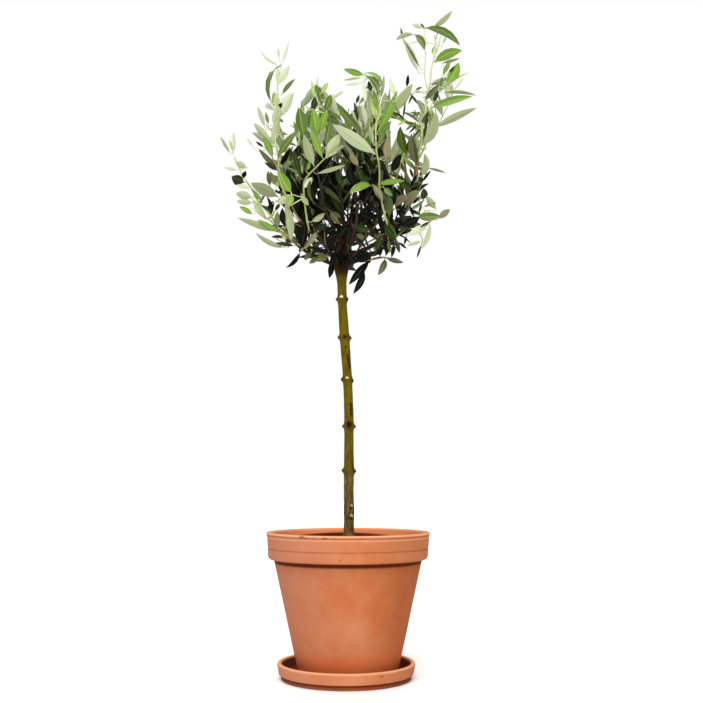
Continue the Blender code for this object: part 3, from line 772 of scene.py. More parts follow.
@dataclass
class Saucer:
    """The shallow dish under the pot, turned, with a rounded lip and a set-in foot."""

    top_radius: float = 0.0885
    height: float = 0.0204
    wall: float = 0.0058
    floor: float = 0.0055
    foot_radius: float = 0.0829
    foot_height: float = 0.0059
    foot_step: float = 0.0028
    segments: int = 208
    ring_step: float = 0.0022
    warp: float = 0.00012
    chips: tuple[Chip, ...] = (
        Chip(-93, 0.0006, 0.016), Chip(-73.5, 0.0007, 0.0163), Chip(-60.5, 0.0005, 0.015),
        Chip(-118, 0.0004, 0.0148), Chip(46, 0.0009, 0.016))

    def profile(self) -> Array:
        """Draw the outline from the middle of its floor over the lip to its underside.

        Returns:
            Its points (radius, height).
        """
        inner = self.top_radius - self.wall
        corners = [
            (0.0, self.floor, 0.0), (inner - 0.004, self.floor, 0.0045),
            (inner, self.height, 0.0024), (self.top_radius, self.height, 0.0026),
            (self.foot_radius + self.foot_step, self.foot_height + 0.0002, 0.0012),
            (self.foot_radius, self.foot_height, 0.0006), (self.foot_radius, 0.0, 0.0008),
            (0.0, 0.0, 0.0)]
        return rounded(corners, 5, closed=False)

    def build(self) -> None:
        """Turn the outline: radius times (cos a, sin a), height; a fan closes each side."""
        rings = along_profile(self.profile()[1:-1], self.ring_step, closed=False)
        places = spun(rings, (0.0, 0.0), self.segments, self.warp, 3).reshape(-1, 3)
        middle, sides = len(places), self.segments
        every = np.vstack((places, (0.0, 0.0, self.floor), (0.0, 0.0, 0.0)))
        surface = Surface()
        surface.add(every, [grid_faces(len(rings), sides)[:, ::-1], fan(middle, 0, sides),
                            fan(middle + 1, middle - sides, sides)[:, ::-1]], **self.marks(every))
        clay = Terracotta().material("terracotta_saucer")
        item = surface.to_object("saucer_turned", [clay], "terracotta", 50.0)
        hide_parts("saucer")

    def marks(self, places: Array) -> dict[str, Array]:
        """Paint it: painted shade and shadow, a pale tone with a painted highlight, and chips.

        The shade lies inside the dish and the shadow in the step of its foot; the pale
        tone covers its outside and the highlight lies on its lip.

        Args:
            places: its vertices.

        Returns:
            The share of each mark at each vertex.
        """
        z = places[:, 2]
        distance = np.hypot(places[:, 0], places[:, 1])
        # Painted shade inside the dish, below its lip.
        inside = smooth((self.top_radius - self.wall + 0.0008 - distance) / 0.0012)
        inside = inside * smooth((self.height - 0.0006 - z) / 0.003)
        # Painted shadow in the step under the wall, darkest at the top of the foot.
        step = smooth((self.foot_height + 0.0008 - z) / 0.001)
        step = step * mix(0.56, 0.97, smooth(z / self.foot_height))
        chips = sum(chip.reach(places, (0.0, 0.0)) for chip in self.chips)
        chips = chips * (distance > self.top_radius - 0.5 * self.wall)
        # A pale tone over the outside, rising to a painted highlight on the lip.
        lip = mix(0.13, 0.62, smooth((z - self.height + 0.0022) / 0.0016))
        return {"painted_shade": np.maximum(0.85 * inside, step), "pale_tone_and_painted_light": lip * (1.0 - inside),
                "chip": 0.8 * smooth(1.5 * chips)}


@dataclass
class Pot:
    """The tapered pot: a broad rim band with a lip and a groove, over a plain body."""

    axis: Pair = (0.0023, 0.0)
    top: float = 0.1838
    stand: float = 0.0058
    base_radius: float = 0.0628
    body_radius: float = 0.0955
    band_radius: float = 0.1027
    rim_radius: float = 0.1049
    band_height: float = 0.0343
    groove_drop: float = 0.0203
    groove_depth: float = 0.001
    lip_bulge: float = 0.0009
    lip_height: float = 0.0029
    bead_drop: float = 0.0061
    wall: float = 0.0078
    floor: float = 0.009
    drain_radius: float = 0.009
    taper: float = 0.32
    # How far below the top, inside, the painted light gives way to painted shade.
    inner_shade_edge_drop: float = 0.0063
    segments: int = 224
    ring_step: float = 0.0017
    warp: float = 0.00022
    chips: tuple[Chip, ...] = (
        Chip(-122, 0.0008, 0.1819), Chip(-119, 0.0005, 0.1808), Chip(-112, 0.0004, 0.1804),
        Chip(-105.2, 0.0007, 0.1808), Chip(-98.8, 0.0005, 0.1806), Chip(-81, 0.0004, 0.1814),
        Chip(-95, 0.0004, 0.1545), Chip(34, 0.0012, 0.1818), Chip(118, 0.001, 0.1822))

    def profile(self) -> Array:
        """Draw the closed outline, from the rim's top down its outer side and back.

        Returns:
            Its points (radius, height).
        """
        foot, base = self.top - self.band_height, self.stand + self.floor
        slope = (self.rim_radius - self.band_radius) / self.band_height

        def band(drop: float, rounding: float, out: float = 0.0) -> Triple:
            """Return a corner of the rim band's face, at a drop from the top."""
            height = self.top - drop
            return self.band_radius + slope * (height - foot) + out, height, rounding

        lip = self.rim_radius + self.lip_bulge
        corners = [
            (self.rim_radius - self.wall, self.top, 0.0028), (lip, self.top, 0.0019),
            (lip, self.top - self.lip_height, 0.0009), band(self.lip_height + 0.0007, 0.0005),
            band(self.bead_drop, 0.0012, 0.0003), band(self.bead_drop + 0.0012, 0.0008),
            band(self.groove_drop - 0.001, 0.0005),
            band(self.groove_drop, 0.0003, -self.groove_depth),
            band(self.groove_drop + 0.001, 0.0005), (self.band_radius, foot, 0.0042),
            (self.body_radius, foot, 0.0008),
            (self.base_radius + 0.0008, self.stand + 0.0022, 0.0015),
            (self.base_radius - 0.001, self.stand, 0.0006),
            (self.drain_radius, self.stand, 0.0012), (self.drain_radius, base, 0.0012),
            (self.base_radius - self.wall, base, 0.005),
            (self.body_radius - self.wall, foot, 0.006),
            (self.rim_radius - self.wall, self.top - 0.0177, 0.004)]
        return along_profile(rounded(corners, 4), self.ring_step)

    def build(self) -> None:
        """Turn the outline and flake the lip: each flake sinks in and down by its bell."""
        profile = self.profile()
        places = spun(profile, self.axis, self.segments, self.warp, 11)
        distance = np.hypot(places[..., 0] - self.axis[0], places[..., 1] - self.axis[1])
        flaked = np.zeros(places.shape[:2])
        for chip in self.chips:
            near = chip.reach(places, self.axis) * (distance > self.rim_radius - 0.004)
            slope = np.append(compass(chip.azimuth, 0)[:2], 0.6)
            places -= near[..., None] * slope * 0.4 * chip.size
            flaked = np.maximum(flaked, near)
        surface = Surface()
        surface.add(places, [grid_faces(len(profile), self.segments, wrap_rows=True)[:, ::-1]],
                    chip=smooth(1.6 * flaked), **self.marks(places, distance))
        clay = Terracotta().material("terracotta_pot")
        item = surface.to_object("pot_turned", [clay], "terracotta", 50.0)
        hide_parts("pot")

    def marks(self, places: Array, distance: Array) -> dict[str, Array]:
        """Paint light and shade on it.

        Painted shadow under the band, painted shade in the crease and the groove, painted
        highlights on the lip and the bead, painted light on the band, a deeper orange for
        the shade at its foot, and inside, painted light on the rim over painted shade.

        Args:
            places: its vertices.
            distance: how far each one is from the axis.

        Returns:
            The share of each mark at each vertex.
        """
        x, z = places[..., 0], places[..., 2]
        foot = self.top - self.band_height
        drop = foot - z
        outer = smooth((distance - self.body_radius + 0.0085 + self.taper * drop) / 0.003)
        below = drop > -0.0004
        # Painted shadow on the body under the band's overhang, and a faint wider painted shade below it.
        corner = smooth((0.0064 - drop) / 0.0026) * below * (distance < self.band_radius - 0.0012)
        corner = np.maximum(corner, 0.1 * smooth((0.026 - drop) / 0.022) * below)
        # Painted shade in the crease under the lip and in the groove.
        lines = np.maximum(0.5 * bell(self.top - self.lip_height - 0.0006 - z, 0.0007),
                           0.45 * bell(self.top - self.groove_drop - z, 0.0006))
        # Inside: painted light on the rim down to a curved line, painted shade below it.
        inner = (distance < self.rim_radius - self.wall + 0.0008) & (z > foot)
        inner_shade_edge = self.top - self.inner_shade_edge_drop - 0.0027 * ((x + 0.008) / 0.06) ** 2
        inner_lit_share = np.clip((z - inner_shade_edge) / 0.0017 + 0.5, 0.0, 1.0)
        # Painted highlights on the lip's top and on the bead.
        lip = np.maximum(bell(self.top - 0.0009 - z, 0.0011),
                         0.55 * bell(self.top - self.bead_drop - z, 0.0009))
        # Painted light on the band's face, stronger to the right.
        band = smooth((z - foot + 0.0002) / 0.0008) * (1.0 + smooth((x - 0.01) / 0.06))
        return {"pale_tone_and_painted_light": np.where(inner, 0.0, 0.06 * band + 0.54 * lip),
                "fresh": np.where(inner, 0.85 * inner_lit_share, 0.0),
                # A deeper orange towards the foot: painted shade.
                "warm": 0.66 * outer * smooth((0.05 - z) / 0.032),
                "painted_shade": np.where(inner, 1.0 - inner_lit_share, outer * np.maximum(corner, 0.5 * lines))}


@dataclass
class Soil:
    """The potting soil: a crumbly top just below the lip, and loose crumbs on it."""

    axis: Pair = (0.0023, 0.0)
    top: float = 0.1735
    radius: float = 0.0968
    bottom_radius: float = 0.086
    depth: float = 0.028
    rings: int = 62
    segments: int = 180
    crumbs: int = 520
    crumb_sizes: Pair = (0.0009, 0.003)
    seed: int = 5

    def heights(self, places: Array) -> Array:
        """Return the soil's height: the level, broad dips, lumps and crumbs of noise.

        Args:
            places: points, of which the height doesn't count.

        Returns:
            The height at each point.
        """
        flat = places.copy()
        flat[..., 2] = 0.0
        rise = 0.001 * bell(places[..., 0] - 0.002, 0.022)
        return (self.top - 0.0012 + rise + 0.0013 * lattice_noise(flat, 0.022, 21)
                + 0.0013 * lattice_noise(flat, 0.0075, 22)
                + 0.0008 * lattice_noise(flat, 0.0032, 23))

    def build(self) -> None:
        """Make the top, its sides down the pot's wall, and the crumbs.

        Top vertex (i, a) = radius i times (cos a, sin a), and the height of the noise.
        """
        centre = np.array((*self.axis, 0.0))
        shares = (np.arange(self.rings) + 1.0) / self.rings
        turns = circle(self.segments)
        top = self.radius * shares[:, None, None] * turns + centre
        top[..., 2] = self.heights(top)
        side = self.bottom_radius * turns[None] + centre
        side[..., 2] = self.top - self.depth
        rings = np.concatenate((top, side)).reshape(-1, 3)
        centre[2] = self.heights(centre[None])[0]
        bottom = len(rings) - 1 - np.arange(self.segments)
        surface = Surface()
        surface.add(np.vstack((rings, centre)),
                    [grid_faces(self.rings + 1, self.segments)[:, ::-1],
                     fan(len(rings), 0, self.segments), bottom[None]])
        self.scatter(surface)
        peat = POTTING_SOIL.material("potting_soil_crumbs")
        item = surface.to_object("soil_top", [peat], "potting_soil", 80.0)
        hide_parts("soil")

    def scatter(self, surface: Surface) -> None:
        """Add loose crumbs: uneven eight-sided lumps, each a stretched octahedron.

        Args:
            surface: the soil's surface, which takes them.
        """
        draw = np.random.default_rng(self.seed)
        count = self.crumbs
        distance = (self.radius - 0.004) * np.sqrt(draw.uniform(0.01, 1.0, count))
        turn = draw.uniform(0.0, TAU, count)
        places = np.stack((distance * np.cos(turn) + self.axis[0],
                           distance * np.sin(turn) + self.axis[1], np.zeros(count)), -1)
        places[:, 2] = self.heights(places)
        sizes = draw.uniform(*self.crumb_sizes, count) * draw.uniform(0.5, 1.0, count)
        arms = np.array([(1, 0, 0), (0, 1, 0), (-1, 0, 0), (0, -1, 0), (0, 0, 1), (0, 0, -1)], float)
        lumps = arms[None] * draw.uniform(0.55, 1.25, (count, 6, 1)) * sizes[:, None, None]
        lumps[..., 2] *= 0.7
        lumps += draw.normal(0.0, 0.12, lumps.shape) * sizes[:, None, None]
        faces = np.array([(0, 1, 4), (1, 2, 4), (2, 3, 4), (3, 0, 4),
                          (1, 0, 5), (2, 1, 5), (3, 2, 5), (0, 3, 5)])
        every = faces[None] + 6 * np.arange(count)[:, None, None]
        surface.add(lumps + places[:, None], [every.reshape(-1, 3)])


# ---- trunk ----
class ScarKind(Enum):
    """What a mark on the trunk is."""

    EYE = "an oval cut that has healed at its rim and is dark inside"
    PALE = "a fresh pale cut"
    NUB = "a bud base that stands out at the side"
    STUB = "a short cut peg, pale on its face and dark beneath"
    SPOT = "a small rusty spot"


EYE, PALE, NUB, STUB, SPOT = ScarKind


@dataclass(frozen=True)
class Scar:
    """One mark on the trunk: its height, its azimuth and its size in metres."""

    kind: ScarKind
    height: float
    azimuth: float
    size: float


TRUNK_SCARS = tuple(Scar(*row) for row in (
    (PALE, 0.4905, -98, 0.0027), (NUB, 0.488, -32, 0.0038), (NUB, 0.488, -165, 0.0026),
    (NUB, 0.487, 75, 0.0026), (EYE, 0.4375, -84, 0.0026), (NUB, 0.4365, -10, 0.0032),
    (NUB, 0.4375, 176, 0.0032), (NUB, 0.437, 82, 0.0026), (SPOT, 0.4235, -82, 0.0013),
    (SPOT, 0.4125, -70, 0.0019), (SPOT, 0.4075, -62, 0.0025), (SPOT, 0.402, -58, 0.0024),
    (SPOT, 0.397, -58, 0.0019), (PALE, 0.3825, -92, 0.0024), (NUB, 0.3795, -30, 0.0036),
    (NUB, 0.3815, -172, 0.0032), (NUB, 0.3805, 88, 0.0026), (SPOT, 0.348, -62, 0.0024),
    (SPOT, 0.342, -58, 0.0025), (SPOT, 0.336, -60, 0.0023), (EYE, 0.3215, -88, 0.0053),
    (NUB, 0.3195, -6, 0.0028), (NUB, 0.32, 172, 0.0026), (NUB, 0.3205, 80, 0.0026),
    (NUB, 0.2615, -14, 0.0034), (NUB, 0.2625, 178, 0.0034), (NUB, 0.262, 86, 0.0028),
    (STUB, 0.2165, -64, 0.0034), (STUB, 0.2035, -66, 0.0037), (STUB, 0.231, 60, 0.0024)))


@dataclass
class Trunk:
    """The slender trunk: its lean, taper, root flare, knots, scars and bark."""

    across: float = 0.0033
    foot: float = 0.1738
    top: float = 0.592
    lean: float = 0.01
    lean_from: float = 0.32
    lean_to: float = 0.535
    back_swing: float = 0.011
    knuckle: float = 0.54
    knuckle_radius: float = 0.0108
    knuckle_spread: float = 0.0165
    tip_radius: float = 0.0048
    low_radius: float = 0.0067
    high_radius: float = 0.0061
    taper_length: float = 0.2
    flare_radius: float = 0.0088
    flare_height: float = 0.014
    knots: tuple[float, ...] = (0.262, 0.32, 0.381, 0.437, 0.488)
    knot_swell: float = 0.0011
    knot_length: float = 0.0045
    sides: int = 56
    ring_step: float = 0.0009
    sink: float = 0.003

    def axis(self, heights: Values) -> Array:
        """Return the centre at each height: an eased lean, then a swing back.

        Args:
            heights: the heights.

        Returns:
            One point for each height.
        """
        heights = np.asarray(heights, float)
        lean = smooth((heights - self.lean_from) / (self.lean_to - self.lean_from))
        swing = np.maximum(0.0, (heights - self.knuckle) / (self.top - self.knuckle))
        across = self.across - self.lean * lean + self.back_swing * swing
        return np.stack((across, np.zeros_like(across), heights), axis=-1)

    def radius(self, heights: Values) -> Array:
        """Return the radius at each height: root flare, slow taper and the knuckle.

        Args:
            heights: the heights.

        Returns:
            One radius for each height.
        """
        heights = np.asarray(heights, float)
        above = heights - self.foot
        radius = mix(self.low_radius, self.high_radius, smooth(above / self.taper_length))
        radius = radius + (self.flare_radius - self.low_radius) * (
            1.0 - smooth(above / self.flare_height))
        for knot in self.knots:
            radius = radius + self.knot_swell * bell(heights - knot, self.knot_length)
        grow = smooth(1.0 - (self.knuckle - heights) / (2.0 * self.knuckle_spread))
        over = (heights - self.knuckle) / (self.top - self.knuckle)
        return np.where(heights < self.knuckle, mix(radius, self.knuckle_radius, grow),
                        mix(self.knuckle_radius, self.tip_radius, over))

    def build(self) -> None:
        """Make the bark's surface.

        Vertex (i, a) = axis i + radius times (cos a, sin a).  The radius is the
        taper, plus furrows of stretched noise, which are deep below and fine above,
        plus each scar's own relief.
        """
        foot = self.foot - self.sink
        heights = np.linspace(foot, self.top, round((self.top - foot) / self.ring_step))
        centre, radius, turns = self.axis(heights), self.radius(heights), circle(self.sides)
        even = centre[:, None] + turns * radius[:, None, None]
        rough = mix(1.0, 0.16, smooth((heights - 0.245) / 0.03))
        rough = np.maximum(rough, 0.9 * smooth((heights - 0.525) / 0.02))[:, None]
        furrows = (0.00042 * lattice_noise(even, (0.0026, 0.0026, 0.01), 31)
                   + 0.00026 * lattice_noise(even, (0.0013, 0.0013, 0.0042), 32)
                   + 0.00022 * lattice_noise(even, 0.006, 33))
        relief = furrows * rough + 0.00035 * lattice_noise(even, (0.012, 0.012, 0.03), 34)
        marks = {name: np.zeros(relief.shape) for name in ("knot", "rim", "pale", "heart")}
        for scar in TRUNK_SCARS:
            relief += self.engrave(scar, heights, radius, marks)
        ring = sum(bell(heights - knot, 0.0035) for knot in self.knots)[:, None]
        marks["knot"] = np.clip(marks["knot"] + 0.22 * ring, 0.0, 1.0)
        head = smooth((heights - 0.515) / 0.013)[:, None]
        marks["knot"] = np.maximum(marks["knot"], 0.85 * head)
        marks["heart"] = np.maximum(marks["heart"], 0.55 * head)
        places = centre[:, None] + turns * (radius[:, None] + relief)[..., None]
        places[0, :, 2] = foot
        places[-1, :, 2] = self.top
        surface = Surface()
        surface.add(places, capped(len(heights), self.sides), **marks)
        bark = OliveBark().material("olive_trunk_bark")
        item = surface.to_object("trunk_bark", [bark], "olive_bark", 70.0)
        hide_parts("trunk")

    def engrave(self, scar: Scar, heights: Array, radius: Array,
                marks: dict[str, Array]) -> Array:
        """Return a scar's relief and add its colours to the marks.

        Distances are measured on the unrolled bark: along it and round it.

        Args:
            scar: the mark.
            heights: height of each ring.
            radius: radius of each ring.
            marks: the share of each colour at each vertex, changed in place.

        Returns:
            How far the bark stands out, for each vertex.
        """
        angles = TAU * np.arange(self.sides) / self.sides
        turn = (angles - math.radians(scar.azimuth) + math.pi) % TAU - math.pi
        round_it = turn[None] * radius[:, None]
        along = (heights - scar.height)[:, None] * np.ones(self.sides)
        size = scar.size

        def paint(mark: str, share: Array) -> None:
            """Raise a mark to this share where it is less."""
            np.maximum(marks[mark], share, out=marks[mark])

        if scar.kind is NUB:
            lump = bell(np.hypot(along, round_it), 0.72 * size)
            paint("knot", 0.85 * smooth(1.25 * lump))
            paint("heart", 0.75 * bell(np.hypot(along + 0.2 * size, round_it), 0.33 * size))
            return 0.0022 * lump
        if scar.kind is SPOT:
            dot = bell(np.hypot(0.7 * along, round_it), 0.8 * size)
            paint("knot", smooth(1.7 * dot))
            return 0.00025 * dot
        if scar.kind is STUB:
            peg = smooth(1.6 - np.hypot(along, round_it) / (0.62 * size))
            beneath = bell(np.hypot(along + 0.85 * size, round_it), 0.5 * size)
            paint("knot", 0.9 * peg)
            paint("pale", 0.75 * bell(np.hypot(along - 0.25 * size, round_it - 0.1 * size),
                                      0.42 * size))
            paint("heart", 0.7 * beneath)
            return 0.0021 * peg - 0.0005 * beneath
        outward = np.hypot(along / 1.15, round_it) / size
        rim = bell(outward - 0.88, 0.2)
        inside = smooth((0.95 - outward) / 0.35)
        if scar.kind is EYE:
            paint("rim", 0.9 * rim)
            paint("heart", 0.95 * smooth((0.84 - outward) / 0.25))
            return 0.0011 * rim - 0.0011 * inside
        paint("rim", 0.5 * rim)
        paint("pale", 0.95 * inside * (along > -0.25 * size))
        return 0.0006 * rim + 0.0004 * inside


# ---- limbs ----
class Path:
    """A line of points, read by its distance from the root."""

    def __init__(self, points: Array) -> None:
        """Keep the points and work out how far along the line each one lies.

        Args:
            points: the line.
        """
        self.points = np.asarray(points, float)
        steps = np.linalg.norm(np.diff(self.points, axis=0), axis=1)
        self.lengths = np.concatenate(((0.0,), np.cumsum(steps)))
        self.length = float(self.lengths[-1])

    def at(self, distance: Values) -> Array:
        """Return the point, or points, at a distance along the line."""
        return np.stack([np.interp(distance, self.lengths, self.points[:, axis])
                         for axis in range(3)], axis=-1)

    def along(self, distance: float) -> Array:
        """Return the unit direction of the line at a distance."""
        half = 0.6 * self.length / (len(self.points) - 1)
        return unit(self.at(distance + half) - self.at(distance - half))

    def evenly(self, count: int) -> Array:
        """Return this many points at even steps of its length."""
        return self.at(np.linspace(0.0, self.length, count))


def eased(points: Array, rounds: int = 1) -> Array:
    """Ease a line's corners: each inner point moves half way to its neighbours' mean.

    Args:
        points: the line.
        rounds: how often it is done.

    Returns:
        The eased points.
    """
    points = points.copy()
    for _ in range(rounds):
        points[1:-1] = 0.25 * points[:-2] + 0.5 * points[1:-1] + 0.25 * points[2:]
    return points


@dataclass(frozen=True)
class Limb:
    """One limb of the crown, from the trunk to the tip of its shoot.

    azimuth: degrees anticlockwise from +X, seen from above.  reach: distance of the
    tip from the knuckle's axis.  tip: its height.  start: height on the trunk.
    sweep: how much of the reach it runs out before it turns up.  arrive: angle of
    its tip above level.  bare: share that is a bough.  tuck: how far its leafy stretch
    is drawn in towards the trunk, half way up.
    """

    name: str
    azimuth: float
    reach: float
    tip: float
    start: float
    sweep: float
    arrive: float
    bare: float = 0.0
    tuck: float = 0.0

    def path(self, trunk: Trunk) -> Path:
        """Return the centre line: a cubic curve read at even steps of its length.

        Args:
            trunk: what it springs from, at its side or at its very top.

        Returns:
            The line.
        """
        axis = trunk.axis(self.start)
        if self.start > trunk.top - 0.003:
            leave = unit(trunk.axis(trunk.top) - trunk.axis(trunk.knuckle))
            root = axis + leave * 0.0024
        else:
            leave = compass(self.azimuth, 12.0)
            root = axis + leave * (float(trunk.radius(self.start)) + 0.0006)
        centre = trunk.axis(trunk.knuckle)
        tip = np.array((centre[0], centre[1], self.tip)) + compass(self.azimuth, 0) * self.reach
        low = root + leave * (self.sweep * self.reach)
        high = tip - compass(self.azimuth, self.arrive) * (0.52 * max(0.045, self.tip - self.start))
        t = np.linspace(0.0, 1.0, 105)[:, None]
        s = 1.0 - t
        fine = Path(root * s ** 3 + low * (3 * s * s * t) + high * (3 * s * t * t) + tip * t ** 3)
        return Path(fine.evenly(27))


LIMBS = tuple(Limb(*row) for row in (
    ("crest", -5, 0.131, 0.855, 0.548, 0.8, 82, 0.22, 0.005),
    ("shoulder", 14, 0.157, 0.782, 0.572, 0.75, 76, 0.24, 0.026),
    ("right_arm", -14, 0.118, 0.602, 0.534, 0.45, 30, 0.26),
    ("right_middle", 38, 0.122, 0.65, 0.549, 0.55, 52, 0.22),
    ("right_front", -46, 0.116, 0.662, 0.562, 0.6, 62, 0.28),
    ("centre_top", 52, 0.04, 0.782, 0.59, 0.35, 88, 0.16),
    ("front_centre", -70, 0.094, 0.704, 0.548, 0.6, 76, 0.26, 0.022),
    ("front_left", -112, 0.092, 0.68, 0.562, 0.6, 78, 0.26),
    ("left_top", 158, 0.066, 0.762, 0.584, 0.6, 90, 0.22),
    ("upper_left", 186, 0.085, 0.796, 0.562, 0.88, 97, 0.24),
    ("left_arm", 180, 0.146, 0.682, 0.546, 0.5, 62, 0.28),
    ("left_low", 197, 0.122, 0.604, 0.533, 0.45, 28, 0.26),
    ("left_front", 222, 0.112, 0.64, 0.55, 0.55, 58, 0.24),
    ("back_right", 56, 0.116, 0.724, 0.562, 0.65, 78, 0.26),
    ("back_left", 126, 0.112, 0.74, 0.564, 0.65, 80, 0.26),
    ("back_centre", 90, 0.118, 0.664, 0.549, 0.6, 66, 0.26),
    ("inner_front", -98, 0.044, 0.712, 0.578, 0.9, 86),
    ("inner_right", -28, 0.07, 0.728, 0.584, 0.8, 82),
    ("inner_left", 184, 0.06, 0.664, 0.576, 0.8, 80),
    ("inner_back", 84, 0.06, 0.676, 0.576, 0.8, 80),
    ("front_skirt_right", -58, 0.082, 0.57, 0.535, 0.45, 10),
    ("front_skirt_left", -118, 0.082, 0.572, 0.534, 0.45, 10),
    ("back_skirt_right", 60, 0.098, 0.588, 0.535, 0.45, 22),
    ("back_skirt_left", 146, 0.1, 0.592, 0.535, 0.45, 22),
    ("back_skirt", 102, 0.092, 0.58, 0.533, 0.42, 16)))


@dataclass
class Leaf:
    """One leaf: where its stalk leaves the shoot, how it points, and its shape."""

    root: Array
    direction: Array
    across: Array
    length: float
    width: float
    bend: float
    cup: float
    twist: float
    sickle: float
    tint: Tint


class Side(Enum):
    """Which side of a placed leaf is turned to the front."""

    UPPER = 1.0
    UNDER = -1.0


UPPER, UNDER = Side


@dataclass(frozen=True)
class Blade:
    """One leaf of a placed spray, in millimetres as it appears from the front.

    x, z, tip_x and tip_z: how far right of the pot's middle its foot and its tip are,
    and how high.  width: its broadest.  bow: how far its middle stands left of the
    line from foot to tip, as a share of that line.  lean: how much nearer the front
    the tip is than the foot.
    """

    x: float
    z: float
    tip_x: float
    tip_z: float
    width: float
    tint: Tint
    side: Side = UPPER
    bow: float = 0.0
    lean: float = 5.0


@dataclass(frozen=True)
class Spray:
    """A shoot with its leaves: its line as seen from the front, and its two depths.

    A depth is how far behind the pot's middle a place is, in millimetres, so it is
    negative in front.  A spray without a line has its leaves on the limb's own line.
    """

    limb: str
    depth: Pair
    line: tuple[Pair, ...]
    thickness: float
    rows: tuple[tuple, ...]


@dataclass(frozen=True)
class View:
    """The seen side: a place is named by where it appears on the plane y = 0."""

    eye: Triple = (0.0067, -1.372, 0.256)

    def apparent(self, places: Array) -> Array:
        """Return where places appear on the plane.

        Args:
            places: points, one row each.

        Returns:
            (across, height) in millimetres.
        """
        eye = np.array(self.eye)
        seen = eye + (places - eye) * (-eye[1] / (places[..., 1:2] - eye[1]))
        return PER_METRE * seen[..., (0, 2)]

    def place(self, across: float, height: float, depth: float) -> Array:
        """Return the place that appears somewhere on the plane.

        Args:
            across: how far right of the pot's middle it appears, in millimetres.
            height: how high.
            depth: how far behind the plane it is.

        Returns:
            The place, in metres.
        """
        eye = np.array(self.eye)
        flat = np.array((across, 0.0, height)) / PER_METRE
        return eye + (flat - eye) * ((depth / PER_METRE - eye[1]) / -eye[1])


VIEW = View()

# The crown's outline without its placed sprays, as it appears from the front.
OUTLINE = np.array((
    (-20, 530), (-40, 542), (-58, 552), (-80, 562), (-104, 574), (-118, 590), (-126, 606),
    (-122, 632), (-106, 652), (-108, 680), (-120, 702), (-119, 722), (-112, 745), (-105, 766),
    (-97, 778), (-88, 770), (-86, 742), (-86, 716), (-82, 700), (-76, 704), (-72, 728),
    (-66, 750), (-58, 766), (-50, 784), (-38, 790), (-25, 784), (-16, 768), (-12, 750),
    (0, 750), (8, 760), (18, 764), (24, 784), (24, 800), (34, 804), (43, 788), (50, 792),
    (60, 782), (68, 770), (78, 775), (88, 790), (96, 806), (101, 830), (98, 850), (112, 861),
    (124, 860), (131, 840), (141, 824), (150, 814), (150, 790), (146, 776), (132, 762),
    (123, 745), (118, 715), (107, 695), (109, 670), (110, 655), (104, 648), (108, 634),
    (118, 620), (118, 608), (108, 594), (98, 578), (84, 567), (70, 558), (58, 547), (44, 539),
    (24, 535), (12, 529), (0, 527)), float)

# Gaps of open sky inside the outline: middle across, middle height, half width, half height.
OPENINGS = np.array((
    (64, 714, 6, 14), (85, 722, 4, 5), (68, 664, 3, 5), (88, 662, 6, 6), (66, 601, 7, 6),
    (97, 610, 3, 5), (93, 596, 3, 5), (21, 562, 9, 9), (36, 571, 5, 11), (-3, 562, 3, 9),
    (-2, 606, 5, 7), (45, 583, 6, 9), (-96, 641, 6, 5), (-103, 600, 6, 5), (-70, 574, 3, 5),
    (-48, 656, 4, 3), (-60, 671, 5, 4), (95, 752, 6, 9), (73, 751, 6, 5), (94, 826, 8, 16),
    (111, 818, 8, 14), (114, 842, 5, 12), (104, 800, 9, 12), (122, 808, 6, 7), (101, 692, 3, 15),
    (90, 722, 7, 8), (75, 664, 4, 7), (62, 703, 5, 10), (121, 797, 7, 9), (-4, 742, 6, 8),
    (-55, 758, 3, 9), (-104, 740, 4, 9), (-72, 704, 8, 9), (-96, 689, 3, 12), (-76, 677, 4, 5),
    (-63, 676, 3, 5), (-86, 649, 4, 6), (-110, 656, 8, 8), (-97, 622, 4, 7), (-93, 605, 4, 6),
    (-92, 586, 10, 9), (-108, 603, 8, 7), (-101, 575, 8, 5), (-115, 596, 8, 8), (-66, 645, 3, 6),
    (-113, 616, 7, 10), (-120, 640, 6, 12), (18, 722, 4, 4), (82, 672, 3, 5), (-5, 641, 3, 4),
    (12, 627, 3, 3), (-30, 627, 4, 4), (-95, 697, 4, 4), (-29, 602, 4, 3), (4, 612, 3, 4),
    (-13, 648, 3, 3), (62, 572, 4, 4)), float)

